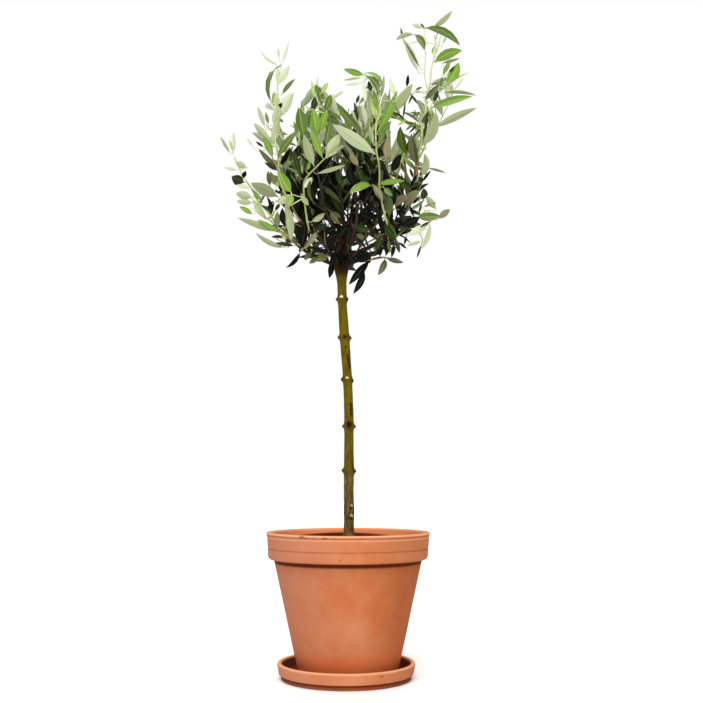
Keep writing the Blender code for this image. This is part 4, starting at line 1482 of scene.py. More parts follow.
# Each leaf's row: its foot, its tip, its width and its tint, then its side, bow and lean.
SPRAYS = (
    Spray("crest", (-10, -14), ((110, 776), (106, 800), (108, 825), (106, 850), (107, 864)), 1.5, (
        (107, 865, 155, 840, 10, GREEN, UPPER, 0.13), (118, 866, 145, 890, 7.5, GREEN, UNDER, -0.05),
        (107, 865, 101, 872, 3, DUSTY), (104, 865, 90, 871, 6, TENDER, UNDER),
        (98, 803, 77, 851, 11, TENDER, UNDER), (101, 807, 80, 846, 3, DUSTY),
        (77, 849, 74, 866, 3, DUSTY))),
    Spray("crest", (-12, -16), ((106, 845), (99, 856), (92, 856)), 1, (
        (92, 856, 68, 848, 6.5, GREEN, UNDER, -0.12), (93, 856, 106, 834, 8.5, GREEN, UPPER, 0.12),
        (100, 856, 108, 838, 4, TENDER, UNDER, 0.2))),
    Spray("crest", (-9, -12), ((107, 728), (92, 730), (76, 735), (60, 742)), 2.2, (
        (101, 747, 87, 739, 3.5, GREEN), (82, 735, 69, 727, 4, TENDER), (94, 731, 82, 723, 4, GREEN),
        (60, 743, 90, 786, 14, GREEN, UNDER, 0, 2), (97, 757, 86, 772, 3.5, DEEP),
        (82, 781, 84, 799, 4.5, SHADE), (94, 777, 103, 781, 3.5, GREEN), (90, 772, 84, 757, 3, DEEP),
        (98, 735, 92, 750, 4, TENDER), (97, 728, 78, 733, 3.5, GREEN), (84, 732, 62, 740, 4, BRIGHT),
        (80, 735, 64, 747, 3, DEEP), (76, 736, 80, 762, 2.6, DEEP), (102, 742, 86, 746, 3.5, GREEN),
        (95, 728, 84, 716, 2.6, SHADE), (100, 722, 88, 708, 2.6, DEEP), (90, 730, 80, 720, 3, DUSTY),
        (72, 737, 55, 741, 3.5, GREEN), (106, 742, 96, 764, 6, GREEN, UNDER),
        (101, 729, 112, 748, 5, DUSTY), (73, 738, 66, 760, 4, GREEN, UNDER))),
    Spray("crest", (-11, -20), ((110, 744), (118, 762), (127, 783), (132, 800), (132, 814)), 1.6, (
        (120, 816, 158, 833, 13, BRIGHT, UPPER, 0.09), (130, 815, 155, 822, 4, DUSTY, UNDER),
        (131, 798, 142, 820, 6, BRIGHT), (136, 785, 153, 816, 14, BRIGHT, UPPER, -0.06),
        (138, 800, 148, 811, 3, DEEP), (137, 788, 167, 802, 3, TENDER),
        (146, 777, 160, 795, 4, TENDER, UNDER), (132, 773, 177, 769, 6, GREEN, UNDER, 0.06),
        (114, 751, 171, 768, 10, BRIGHT, UPPER, 0.04, 12), (118, 760, 125, 777, 5.5, DEEP),
        (128, 781, 130, 796, 4, GREEN), (106, 762, 127, 786, 7, DUSTY),
        (124, 832, 129, 855, 3, TENDER, UNDER), (131, 841, 137, 854, 3, TENDER, UNDER),
        (119, 815, 121, 838, 4, TENDER, UNDER), (120, 724, 177, 752, 10, GREEN, UNDER, 0, 10))),
    Spray("crest", (-10, -14), (), 1.2, ((104, 700, 121, 746, 13.5, GREEN, UNDER, -0.12, 14),
        (104, 706, 111, 749, 4, DEEP), (101, 657, 105, 688, 9, GREEN, UNDER, -0.16),
        (109, 668, 134, 661, 3.5, DUSTY, UNDER), (101, 648, 114, 665, 3.5, SHADE),
        (96, 671, 88, 716, 11.5, DUSTY, UPPER, 0.05, 16), (82, 686, 73, 726, 12.5, GREEN, UPPER, 0.06, 18),
        (83, 690, 84, 707, 4.5, SHADE), (103, 624, 104, 640, 10, DEEP),
        (79, 615, 98, 636, 12, DUSTY, UNDER, 0.1, 16), (66, 614, 83, 629, 11, DUSTY, UNDER, 0.1, 16),
        (86, 640, 95, 659, 5, SHADE), (97, 634, 90, 651, 4.5, DEEP), (90, 654, 85, 668, 3.5, SHADE),
        (84, 631, 95, 643, 5, SHADE), (98, 628, 88, 618, 4, SHADE))),
    Spray("right_front", (-56, -120), ((58, 576), (52, 600), (47, 622), (43, 642), (46, 665),
        (40, 690), (39, 712), (41, 740), (41, 768), (36, 790), (25, 800)), 2.6, (
        (39, 687, -19, 729, 15, BRIGHT, UNDER, 0, 22), (40, 714, 69, 777, 11, BRIGHT, UPPER, -0.03, 14),
        (24, 798, -4, 807, 7.5, BRIGHT), (21, 795, -5, 791, 3.5, TENDER),
        (20, 787, -3, 784, 3.5, TENDER, UNDER), (24, 801, 44, 773, 7, BRIGHT, UPPER, 0.3),
        (25, 797, 42, 768, 8.5, GREEN, UPPER, 0.2), (34, 775, 30, 790, 6, DEEP),
        (23, 789, 26, 761, 6.5, TENDER, UNDER), (46, 764, 51, 799, 5, GREEN, UNDER),
        (51, 745, 53, 774, 8.5, GREEN, UNDER), (67, 768, 59, 794, 7, TENDER, UNDER),
        (39, 738, 31, 768, 6.5, TENDER), (40, 730, 47, 757, 6, TENDER), (41, 750, 38, 778, 6, BRIGHT),
        (60, 662, 74, 688, 10.5, SHADE), (53, 681, 57, 712, 9, DUSTY, UNDER),
        (54, 684, 69, 694, 6.5, DUSTY, UNDER), (43, 704, 57, 742, 8, GREEN, UNDER),
        (46, 716, 61, 734, 5, GREEN), (42, 645, 79, 650, 8, BRIGHT, UPPER, 0.06),
        (33, 643, 4, 633, 10, BRIGHT, UPPER, -0.2), (35, 644, 49, 622, 9, DUSTY, UNDER),
        (57, 602, 56, 632, 12, DEEP, UNDER), (44, 608, 51, 576, 8, SHADE), (50, 592, 67, 567, 11.5, DEEP),
        (36, 700, 30, 728, 6, GREEN, UNDER), (44, 700, 52, 727, 7, GREEN), (60, 612, 64, 640, 9, SHADE),
        (50, 641, 62, 629, 7, GREEN), (47, 637, 56, 621, 6, DEEP))),
    Spray("front_centre", (-72, -76), ((25, 705), (20, 722), (16, 738)), 1.4, (
        (20, 720, -14, 760, 9.5, GREEN, UPPER, 0.05), (16, 731, 10, 760, 4, DEEP),
        (13, 758, 17, 770, 3.5, DEEP), (18, 728, 18, 756, 7.5, GREEN, UNDER),
        (22, 722, 6, 749, 5.5, TENDER, UNDER), (24, 708, 9, 700, 6, SHADE), (20, 690, -3, 706, 9, DEEP),
        (24, 690, 36, 668, 8, SHADE), (10, 642, 2, 670, 10, SHADE), (22, 648, 13, 671, 9, DEEP),
        (-5, 640, -15, 664, 8, DEEP), (16, 670, 4, 690, 8, DUSTY, UNDER))),
    Spray("left_front", (-42, -100), ((-50, 578), (-54, 603), (-57, 625), (-58, 650), (-50, 660),
        (-38, 672), (-28, 683), (-14, 690)), 2.6, ((-32, 681, -48, 722, 9, BRIGHT),
        (-28, 698, -22, 736, 8.5, GREEN), (-28, 682, -9, 716, 12.5, BRIGHT, UNDER, 0, 8),
        (-44, 671, -58, 715, 12, GREEN, UNDER, 0.04, 8), (-40, 660, -1, 672, 5.5, GREEN, UNDER, 0, 10),
        (-57, 640, -46, 655, 8.5, TENDER, UNDER), (-54, 664, -50, 679, 5.5, BRIGHT),
        (-58, 556, -37, 582, 7.5, DUSTY, UNDER), (-59, 558, -54, 592, 15, SHADE),
        (-47, 594, -29, 606, 8.5, GREEN, UNDER), (-62, 655, -72, 694, 7, DEEP),
        (-26, 682, -2, 700, 6, GREEN, UNDER), (-61, 631, -51, 616, 7, GREEN, UNDER))),
    Spray("left_front", (-58, -60), ((-57, 627), (-66, 629), (-75, 632)), 1.6, (
        (-74, 634, -91, 664, 14, BRIGHT, UPPER, 0.06), (-74, 631, -92, 618, 9.5, BRIGHT, UNDER),
        (-73, 631, -78, 613, 8.5, BRIGHT), (-83, 622, -74, 567, 10.5, GREEN, UNDER, 0.05),
        (-84, 588, -86, 613, 8, SHADE), (-86, 635, -92, 644, 3.5, SHADE),
        (-89, 632, -97, 638, 3, SHADE))),
    Spray("front_left", (-84, -88), ((-44, 696), (-42, 720), (-38, 745), (-38, 765), (-41, 781)), 1.5, (
        (-40, 712, -46, 752, 11.5, BRIGHT), (-37, 717, -26, 750, 9, BRIGHT),
        (-45, 747, -43, 768, 7.5, DEEP), (-34, 754, -43, 785, 9.5, GREEN, UPPER, -0.1),
        (-35, 772, -25, 788, 6, TENDER), (-40, 778, -40, 797, 4, TENDER, UNDER),
        (-44, 765, -48, 791, 4, TENDER), (-29, 747, -21, 771, 9, GREEN),
        (-20, 765, -4, 776, 4.5, TENDER, UNDER), (-28, 744, -5, 732, 4.5, GREEN, UPPER, 0.15),
        (-58, 712, -65, 752, 15, GREEN), (-60, 752, -53, 769, 6.5, GREEN, UNDER))),
    Spray("upper_left", (-9, -12), ((-94, 785), (-91, 800), (-90, 812), (-92, 826)), 1, (
        (-101, 759, -90, 812, 6, GREEN, UPPER, 0.28), (-93, 785, -94, 808, 7.5, TENDER, UNDER),
        (-93, 785, -78, 813, 9.5, TENDER, UNDER), (-92, 824, -94, 838, 4, TENDER, UNDER),
        (-88, 814, -79, 846, 3.6, TENDER, UNDER), (-92, 812, -118, 832, 3.6, TENDER, UNDER, 0.12),
        (-88, 771, -70, 793, 6.5, GREEN), (-91, 738, -72, 774, 14.5, TENDER, UNDER, 0.05),
        (-98, 726, -92, 755, 11.5, BRIGHT, UNDER), (-93, 751, -88, 759, 5, SHADE),
        (-100, 703, -92, 738, 10.5, BRIGHT, UNDER), (-111, 725, -121, 754, 6, BRIGHT, UNDER),
        (-106, 729, -110, 746, 4.5, DUSTY, UNDER), (-103, 701, -126, 731, 10, BRIGHT, UNDER),
        (-100, 699, -128, 718, 7, GREEN, UNDER), (-99, 688, -113, 711, 8.5, BRIGHT),
        (-93, 683, -67, 720, 11.5, GREEN), (-112, 697, -123, 705, 3.5, DEEP),
        (-126, 697, -135, 710, 3, TENDER, UNDER), (-93, 667, -119, 695, 7.5, DUSTY),
        (-93, 664, -111, 676, 5, DEEP), (-90, 671, -77, 694, 7.5, SHADE), (-70, 682, -63, 700, 12, DEEP),
        (-81, 715, -90, 717, 4.5, GREEN, UNDER))),
    Spray("left_arm", (0, -4), ((-143, 664), (-150, 682), (-154, 690)), 1, (
        (-157, 688, -171, 712, 4.2, GREEN, UNDER), (-153, 688, -153, 718, 6, TENDER, UNDER),
        (-154, 691, -159, 707, 3, TENDER), (-138, 648, -155, 656, 14, DEEP),
        (-140, 654, -136, 664, 6, SHADE), (-135, 669, -150, 676, 9, BRIGHT, UNDER),
        (-148, 665, -165, 669, 4.5, TENDER, UNDER), (-92, 628, -129, 647, 15, GREEN, UNDER, 0, 16),
        (-127, 627, -149, 633, 10.5, BRIGHT, UNDER), (-126, 620, -148, 622, 8, BRIGHT, UNDER),
        (-129, 641, -149, 644, 6.5, TENDER, UNDER), (-127, 626, -107, 596, 9, BRIGHT, UNDER),
        (-113, 621, -129, 641, 5.5, BRIGHT), (-103, 643, -106, 664, 6, DUSTY),
        (-95, 644, -103, 663, 6.5, DUSTY, UNDER))),
    Spray("left_low", (-28, -36), (), 1.2, ((-126, 604, -144, 615, 6.5, BRIGHT),
        (-88, 578, -120, 597, 6.5, BRIGHT), (-93, 580, -146, 599, 8.5, GREEN, UNDER),
        (-82, 559, -122, 579, 7.5, GREEN, UNDER, 0.1), (-70, 561, -95, 565, 5.5, DEEP),
        (-84, 573, -101, 573, 4.5, DEEP), (-62, 552, -81, 531, 6, SHADE, UPPER, 0.08),
        (-47, 553, -56, 541, 7.5, DUSTY), (-38, 546, -50, 537, 6.5, DUSTY),
        (-25, 548, -42, 540, 8.5, DUSTY), (-28, 553, -43, 550, 5.5, DUSTY, UNDER),
        (-99, 607, -114, 617, 4, DEEP), (-98, 607, -107, 629, 4.5, SHADE), (-96, 609, -89, 620, 4.5, DEEP),
        (-82, 588, -100, 589, 3.2, SHADE), (-93, 608, -92, 584, 7.5, GREEN))),
    Spray("right_arm", (-26, -32), (), 1.2, ((95, 600, 127, 601, 11, GREEN),
        (124, 598, 139, 611, 9, DUSTY, UNDER), (120, 611, 107, 629, 8.5, GREEN, UNDER),
        (103, 614, 121, 620, 3.5, DUSTY, UNDER), (112, 592, 99, 556, 6.5, BRIGHT, UNDER, 0.08),
        (110, 590, 82, 575, 9.5, TENDER, UNDER), (101, 568, 81, 561, 4.5, BRIGHT, UNDER),
        (100, 562, 94, 544, 3, DEEP), (99, 600, 74, 588, 10, SHADE), (93, 590, 68, 584, 8.5, DEEP),
        (66, 594, 88, 602, 8, DEEP), (97, 603, 84, 612, 4, SHADE), (76, 588, 66, 601, 5, SHADE),
        (112, 594, 98, 586, 3.5, DEEP), (90, 601, 85, 616, 4, SHADE), (97, 605, 101, 620, 3, DEEP),
        (78, 604, 70, 614, 4, SHADE), (70, 566, 81, 557, 3.5, SHADE), (80, 574, 77, 563, 4, SHADE),
        (64, 563, 61, 546, 5, SHADE), (55, 562, 52, 547, 5.5, SHADE))),
    Spray("right_arm", (-10, -22), ((24, 541), (36, 542), (50, 545), (62, 543)), 2, (
        (53, 544, 76, 538, 6.5, DUSTY), (51, 543, 42, 521, 8.5, DUSTY, UPPER, 0.12),
        (31, 541, 3, 508, 10, SHADE), (24, 526, 9, 496, 8.5, SHADE, UPPER, 0.06),
        (45, 546, 42, 570, 9, SHADE))),
    Spray("front_skirt_right", (-14, -36), (), 1, ((2, 554, 13, 578, 9, DEEP, UPPER, 0.1),
        (12, 577, 26, 570, 8, DUSTY), (6, 591, 33, 583, 10, DEEP, UPPER, -0.08),
        (29, 592, 42, 577, 10, SHADE), (8, 547, 31, 552, 8, SHADE), (12, 540, 33, 545, 8, SHADE),
        (0, 551, 13, 538, 8.5, SHADE), (39, 553, 48, 576, 10, DEEP), (36, 582, 48, 569, 8, DUSTY),
        (50, 568, 53, 549, 5, SHADE), (56, 570, 58, 551, 5, DUSTY), (62, 559, 60, 545, 5, SHADE),
        (66, 569, 71, 551, 5.5, DEEP), (22, 579, 31, 554, 3, SHADE),
        (11, 573, 26, 552, 3, SHADE, UPPER, 0.12), (57, 593, 67, 570, 9, GREEN),
        (1, 590, -9, 572, 9, SHADE), (4, 584, 1, 563, 7, SHADE), (14, 605, 34, 597, 8, SHADE),
        (30, 606, 44, 594, 8, SHADE))),
    Spray("front_skirt_left", (-14, -36), (), 1, ((-16, 554, -11, 534, 10, SHADE),
        (-8, 550, -2, 532, 9, SHADE), (-17, 549, -21, 534, 6, SHADE),
        (-22, 608, -7, 590, 12, DUSTY, UPPER, 0, 2), (-44, 579, -26, 591, 9, DEEP),
        (-45, 557, -22, 553, 6.5, SHADE), (-31, 577, -12, 587, 9, SHADE), (-10, 579, -28, 568, 9, SHADE),
        (-26, 566, -14, 553, 8, SHADE), (-9, 566, -14, 550, 8, SHADE), (-34, 566, -46, 560, 6, DEEP),
        (-12, 604, -1, 590, 7, SHADE))),
    Spray("front_skirt_left", (-12, -16), (), 1, ((-19, 539, -23, 517, 8, SHADE),
        (-14, 541, -6, 533, 7, SHADE), (-12, 552, -2, 537, 8, SHADE), (-8, 548, 6, 534, 8.5, SHADE))))


def is_inside(points: Array, outline: Array) -> Array:
    """Tell which points lie inside an outline, by counting the sides to their right.

    Args:
        points: (across, height), one row each.
        outline: the outline's corners.

    Returns:
        One truth value for each point.
    """
    after = np.roll(outline, -1, axis=0)
    x, z = points[:, None, 0], points[:, None, 1]
    crosses = (outline[:, 1] > z) != (after[:, 1] > z)
    rise = np.where(after[:, 1] == outline[:, 1], 1e-9, after[:, 1] - outline[:, 1])
    meets = outline[:, 0] + (z - outline[:, 1]) * (after[:, 0] - outline[:, 0]) / rise
    return (crosses & (x < meets)).sum(axis=1) % 2 == 1


def gaps_to(places: Array, starts: Array, spans: Array) -> Array:
    """Return how far places lie from straight spans, by projection on each span.

    Args:
        places: the places.
        starts: where the spans start; the arrays are matched by their shapes.
        spans: the vectors from their starts to their ends.

    Returns:
        One distance for each place and span.
    """
    offset = places - starts
    share = np.clip((offset * spans).sum(axis=-1) / (spans ** 2).sum(axis=-1), 0.0, 1.0)
    return np.linalg.norm(offset - spans * share[..., None], axis=-1)


@dataclass
class Room:
    """The room that the crown keeps to, and the leaves that already stand in it.

    low and high: the box.  bowl: where the crown's floor starts to rise, and its
    slope.  clearance: least gap to the trunk.  slack: how much farther from its own
    limb than from another a place may be.  leaf_room: least gap between the middles
    of two leaves.  margin and ahead: how far beside and behind a placed leaf others
    keep, the first in millimetres as seen from the front.
    """

    trunk: Trunk
    paths: list[Path]
    low: Triple = (-0.176, -0.153, 0.495)
    high: Triple = (0.179, 0.158, 0.89)
    bowl: Pair = (0.016, 0.68)
    clearance: float = 0.003
    slack: float = 0.011
    leaf_room: float = 0.0077
    margin: float = 3.5
    ahead: float = 0.006
    middles: list[Array] = field(default_factory=list)
    placed: list[tuple] = field(default_factory=list)

    def __post_init__(self) -> None:
        """Lay all limbs' points in one array, to measure distances at once."""
        self.starts = np.stack([path.points[:-1] for path in self.paths])
        self.spans = np.stack([np.diff(path.points, axis=0) for path in self.paths])

    def is_open(self, places: Array) -> bool:
        """Tell whether any place shows against open sky, or stands before a placed leaf.

        Args:
            places: points, one row each.

        Returns:
            True if one does.
        """
        seen = VIEW.apparent(places)
        if not is_inside(seen, OUTLINE).all():
            return True
        gaps = (seen[:, None] - OPENINGS[:, :2]) / OPENINGS[:, 2:]
        if ((gaps ** 2).sum(axis=-1) < 1.0).any():
            return True
        if not self.placed:
            return False
        foot, tip, (half, depth) = np.split(np.array(self.placed).T, (2, 4))
        near = gaps_to(seen[:, None], foot.T, (tip - foot).T) < half + self.margin
        return bool((near & (places[:, None, 1] < depth + self.ahead)).any())

    def holds(self, places: Array, own: int) -> bool:
        """Tell whether all places lie in the crown and in the room of one limb.

        Args:
            places: points, one row each.
            own: the limb's number.

        Returns:
            True if every place is free.
        """
        if (places < self.low).any() or (places > self.high).any():
            return False
        centre = self.trunk.axis(self.trunk.knuckle)
        outward = np.hypot(places[:, 0] - centre[0], places[:, 1] - centre[1])
        floor = self.low[2] + self.bowl[1] * np.maximum(0.0, outward - self.bowl[0])
        if (places[:, 2] < floor).any() or self.is_open(places):
            return False
        heights = np.clip(places[:, 2], self.trunk.foot, self.trunk.top)
        gap = np.linalg.norm(places - self.trunk.axis(heights), axis=1)
        if (gap < self.trunk.radius(heights) + self.clearance).any():
            return False
        gaps = gaps_to(places[:, None, None], self.starts, self.spans).min(axis=-1)
        others = np.delete(gaps, own, axis=1).min(axis=1)
        return bool((gaps[:, own] <= others + self.slack).all())

    def is_crowded(self, middle: Array) -> bool:
        """Tell whether another leaf's middle lies too near to this one."""
        gaps = np.linalg.norm(np.reshape(self.middles, (-1, 3)) - middle, axis=1)
        return bool((gaps < self.leaf_room).any())


@dataclass
class LeafShape:
    """The outline and section of an olive leaf, as rings that are carried along it.

    Ring position v runs over the upper side from edge to edge and back beneath.
    """

    rows: tuple[float, ...] = (0.0, 0.075, 0.17, 0.31, 0.48, 0.66, 0.82, 0.93)
    upper: tuple[float, ...] = (-1.0, -0.52, -0.085, 0.085, 0.52, 1.0)
    under: tuple[float, ...] = (0.085, -0.085)
    stalk: float = 0.105
    thickness: float = 0.00062
    rib_groove: float = 0.00022

    def half_widths(self) -> Array:
        """Return the share of the half width at each row.

        Past the stalk it is the sine of pi times t to the power 0.88, eased, so that
        the leaf is widest just below its middle and tapers to a point.
        """
        t = np.clip((np.array(self.rows) - 0.05) / 0.95, 0.0, 1.0)
        return np.maximum(np.sin(math.pi * t ** 0.88) ** 0.82, self.stalk)

    def surface(self, leaves: list[Leaf]) -> Surface:
        """Return all leaves as one surface, with slots 0 upper, 1 underside and 2 rib.

        The centre line is an arc that turns by the bend away from the upper side and
        by the sickle to one side: root + length times (direction sin(turn u) + inward
        (1 - cos(turn u))) / turn.  The across direction rolls about it by twist times
        u.  A point at v lies v half widths across, lifted by cup times v to the power
        1.3, and by the thickness times (1 - v squared).

        Args:
            leaves: the leaves.

        Returns:
            The surface, closed round each leaf.
        """
        def each(measure: str) -> Array:
            """Return one measure of the leaves, shaped to go with rows of points."""
            values = [getattr(leaf, measure) for leaf in leaves]
            return np.array(values, float).reshape(len(leaves), 1, -1)

        u = np.array(self.rows + (1.0,))
        v = np.array(self.upper + self.under)
        is_upper = np.arange(len(v)) < len(self.upper)
        share = np.append(self.half_widths(), 0.0)
        bend, sickle, direction, across = map(each, ("bend", "sickle", "direction", "across"))
        normal = np.cross(direction, across)
        turn = np.maximum(np.hypot(bend, sickle), 1e-3)
        inward = (across * sickle - normal * bend) / turn
        arc = turn * u[None, :, None]
        line = each("root") + each("length") * (
            direction * np.sin(arc) + inward * (1.0 - np.cos(arc))) / turn
        tangent = unit(np.gradient(line, u, axis=1))
        level = unit(across - tangent * (across * tangent).sum(axis=-1, keepdims=True))
        lifted = np.cross(tangent, level)
        roll = each("twist") * u[None, :, None]
        side = level * np.cos(roll) + lifted * np.sin(roll)
        top = lifted * np.cos(roll) - level * np.sin(roll)
        half = 0.5 * each("width") * share[None, :, None]
        belly = self.thickness * (1.0 - v ** 2) * np.where(is_upper, 0.5, -0.75)
        groove = np.where(is_upper & (np.abs(v) < 0.2), -self.rib_groove, 0.0)
        rise = each("cup") * half * np.abs(v) ** 1.3 + (belly + groove) * np.sqrt(share)[:, None]
        places = (line[:, :, None] + side[:, :, None] * (half * v)[..., None]
                  + top[:, :, None] * rise[..., None])
        rings = places[:, :-1].reshape(len(leaves), -1, 3)
        return self.joined(np.concatenate((rings, line[:, -1:]), axis=1), len(v))

    def joined(self, places: Array, sides: int) -> Surface:
        """Join every leaf's rings, and close its stalk's end and its tip.

        Args:
            places: the vertices of each leaf: its rings, then its tip.
            sides: number of vertices in a ring.

        Returns:
            The surface through them.
        """
        count, per_leaf = places.shape[:2]
        strips = len(self.rows) - 1
        slots = np.zeros(sides, int)
        slots[len(self.upper) - 1:] = 1
        slots[[2, len(self.upper)]] = 2
        faces = (grid_faces(strips + 1, sides)[:, ::-1],
                 fan(per_leaf - 1, strips * sides, sides)[:, ::-1], np.arange(sides)[None])
        offset = per_leaf * np.arange(count)[:, None, None]
        surface = Surface()
        surface.add(places, [(group + offset).reshape(-1, group.shape[1]) for group in faces],
                    [np.tile(slots, strips * count), np.tile(slots, count), 2])
        return surface


@dataclass
class Crown:
    """The crown: boughs, stems, twigs, sprigs and leaves, grown by a seeded rule.

    Sizes are in metres and angles in degrees, but depth_slack, off_depth and lead are
    in millimetres.  Radii are those of the foot and the tip.  While a limb grows, own
    is its number and draw gives its random numbers.
    """

    trunk: Trunk
    sprays_seed: int = 7
    twigs_seed: int = 41
    leaves_seed: int = 900
    twig_spacing: float = 0.034
    twig_angle: float = 46.0
    twig_length: float = 0.066
    twig_lift: float = 0.75
    twig_steps: int = 3
    node_spacing: float = 0.0185
    leaf_length: float = 0.0535
    leaf_slimness: float = 4.4
    leaf_angle: float = 48.0
    leaf_angle_near_tip: float = 27.0
    leaf_attempts: int = 7
    leaf_roll: float = 38.0
    placed_roll: float = 16.0
    up_pull: float = 0.25
    stem_radii: Pair = (0.0018, 0.0007)
    twig_radii: Pair = (0.0011, 0.00055)
    sprig_radii: Pair = (0.0007, 0.0005)
    stalk_radii: Pair = (0.00062, 0.00045)
    least_stalk: float = 0.0012
    depth_slack: float = 3.0
    off_depth: float = 40.0
    lead: float = 1.0
    droop_below: float = 0.6
    droop_range: float = 0.07
    bough_sides: int = 14
    own: int = 0
    leaves: list[Leaf] = field(default_factory=list)
    shoots: list[tuple[Array, Array, Array]] = field(default_factory=list)

    def __post_init__(self) -> None:
        """Lay out the limbs' centre lines and the room round them."""
        self.draw = random.Random(self.sprays_seed)
        self.paths = [limb.path(self.trunk) for limb in LIMBS]
        self.room = Room(self.trunk, self.paths)

    def grow(self) -> None:
        """Set the placed sprays, then grow every limb's twigs, sprigs and leaves."""
        names = [limb.name for limb in LIMBS]
        for spray in SPRAYS:
            self.place_spray(spray, self.paths[names.index(spray.limb)])
        for own, (limb, path) in enumerate(zip(LIMBS, self.paths)):
            self.own = own
            twigs = random.Random(self.twigs_seed + 17 * own)
            self.draw = random.Random(self.leaves_seed + own)
            start = limb.bare * path.length
            span = path.length - start
            if limb.bare:
                self.sprigs(Path(path.at(np.linspace(0.15 * start, start, 12))), 0.05)
            path = self.swayed(path, start)
            self.add_stem(path, start)
            lines = []
            for node in range(int(span / self.twig_spacing)):
                distance = start + (node + 0.6) * self.twig_spacing
                turn = GOLDEN_TURN * node + twigs.uniform(-25, 25)
                line = self.twig(twigs, path, distance, turn, (distance - start) / span)
                if line is not None:
                    lines.append(line)
            self.leaf_pairs(path, start + 0.4 * self.node_spacing, path.length)
            for line in lines:
                self.leaf_pairs(line, 0.8 * self.node_spacing, 0.07)
                self.sprigs(line)

    def place_spray(self, spray: Spray, limb: Path) -> None:
        """Set one placed spray on its limb: its shoot, its stalks and its leaves.

        The shoot starts at the limb's nearest point.  Each leaf's foot is joined to
        the nearest point of the shoot or the limb by a thin stalk.

        Args:
            spray: the spray.
            limb: its limb's line.
        """
        carriers = limb.at(np.linspace(0.1 * limb.length, limb.length, 160))
        if spray.line:
            depths = np.linspace(*spray.depth, len(spray.line))
            points = np.array([VIEW.place(*spot, depth) for spot, depth in zip(spray.line, depths)])
            root = carriers[np.linalg.norm(carriers - points[0], axis=1).argmin()]
            line = eased(Path(np.vstack((root, points))).evenly(40), 4)
            share = np.linspace(0.0, 1.0, 40)
            age = mix(1.45 if spray.thickness > 2.3 else 1.8, 2.6, share)
            self.shoots.append((line, 0.5 * MM * spray.thickness * mix(1.15, 0.55, share), age))
            carriers = np.vstack((carriers, line))
        for row in spray.rows:
            self.place_blade(Blade(*row), spray, carriers)

    def place_blade(self, blade: Blade, spray: Spray, carriers: Array) -> None:
        """Set one placed leaf and the stalk that carries it.

        It springs from the carrier that appears nearest, among those at its spray's
        depths if it can.  Its arc leaves the line from foot to tip by half its turn, and
        its chosen side faces the eye, with a random roll.

        Args:
            blade: the leaf.
            spray: its spray.
            carriers: points of the shoot and the limb that it may spring from.
        """
        near, far = min(spray.depth), max(spray.depth)
        seen = np.linalg.norm(VIEW.apparent(carriers) - (blade.x, blade.z), axis=1)
        depths = PER_METRE * carriers[:, 1]
        within = (depths >= near - self.depth_slack) & (depths <= far + self.depth_slack)
        joint = carriers[np.where(within, seen, seen + self.off_depth).argmin()]
        depth = float(np.clip(PER_METRE * joint[1], near, far)) - self.lead
        foot = VIEW.place(blade.x, blade.z, depth)
        tip = VIEW.place(blade.tip_x, blade.tip_z, depth - blade.lean)
        length = float(np.linalg.norm(tip - foot))
        chord = (tip - foot) / length
        gap = np.linalg.norm(foot - joint)
        if gap > self.least_stalk:
            rough = Path(np.array((joint, foot - chord * 0.3 * gap, foot + chord * 0.0006)))
            # Stalks of the darkest leaves take the darkest bark: painted shade.
            age = 0.5 if blade.tint in (SHADE, DEEP) else 1.7
            self.shoots.append((eased(rough.evenly(8)), np.linspace(*self.stalk_radii, 8),
                                np.full(8, age)))
        toward = np.array(VIEW.eye) - foot
        roll = math.radians(self.draw.gauss(0.0, self.placed_roll))
        facing = unit(toward - chord * float(toward @ chord)) * blade.side.value
        level = np.cross(facing, chord)
        level, facing = (level * math.cos(roll) + facing * math.sin(roll),
                         facing * math.cos(roll) - level * math.sin(roll))
        bend = self.draw.uniform(-0.15, 0.35)
        sickle = -4.0 * math.atan(2.0 * blade.bow) * blade.side.value
        turn = max(math.hypot(bend, sickle), 1e-3)
        inward = (level * sickle - facing * bend) / turn
        direction = chord * math.cos(0.5 * turn) - inward * math.sin(0.5 * turn)
        level = unit(level - direction * float(level @ direction))
        self.room.middles.append(mix(foot, tip, 0.5))
        self.room.placed.append((blade.x, blade.z, blade.tip_x, blade.tip_z, 0.5 * blade.width,
                                 0.5 * (foot[1] + tip[1])))
        self.leaves.append(Leaf(
            foot, direction, level, length * 0.5 * turn / math.sin(0.5 * turn),
            0.00107 * blade.width, bend, self.draw.uniform(0.15, 0.5),
            self.draw.gauss(0.0, 0.15), sickle, blade.tint))

    def swayed(self, path: Path, start: float) -> Path:
        """Return a limb's line with its leafy stretch swaying slightly from node to node.

        Two sine waves of unlike lengths move it across and up, growing from its foot.
        A squared sine draws it towards the trunk by its tuck.

        Args:
            path: the limb's line.
            start: where its leafy stretch starts.

        Returns:
            The new line.
        """
        limb, distances = LIMBS[self.own], path.lengths
        grow = MM * smooth((distances - start) / 0.03)[:, None]
        across, raised = ring_frames(path.points)
        share = np.clip((distances - start) / (path.length - start), 0.0, 1.0)
        drawn = limb.tuck * np.sin(math.pi * share)[:, None] ** 2
        first = np.sin(TAU * distances / 0.041 + self.own)[:, None]
        second = np.sin(TAU * distances / 0.067 + 2.0 * self.own)[:, None]
        return Path(path.points + grow * (1.1 * across * first + 0.8 * raised * second)
                    - drawn * compass(limb.azimuth, 0.0))

    def add_stem(self, path: Path, start: float) -> None:
        """Keep a limb's leafy stretch as a shoot that thins from foot to tip.

        Args:
            path: the limb's line.
            start: where its leafy stretch starts.
        """
        distances = np.linspace(start - 0.002 if start else 0.0, path.length, 40)
        share = (distances - start) / (path.length - start)
        self.shoots.append((path.at(distances), mix(*self.stem_radii, share), share))

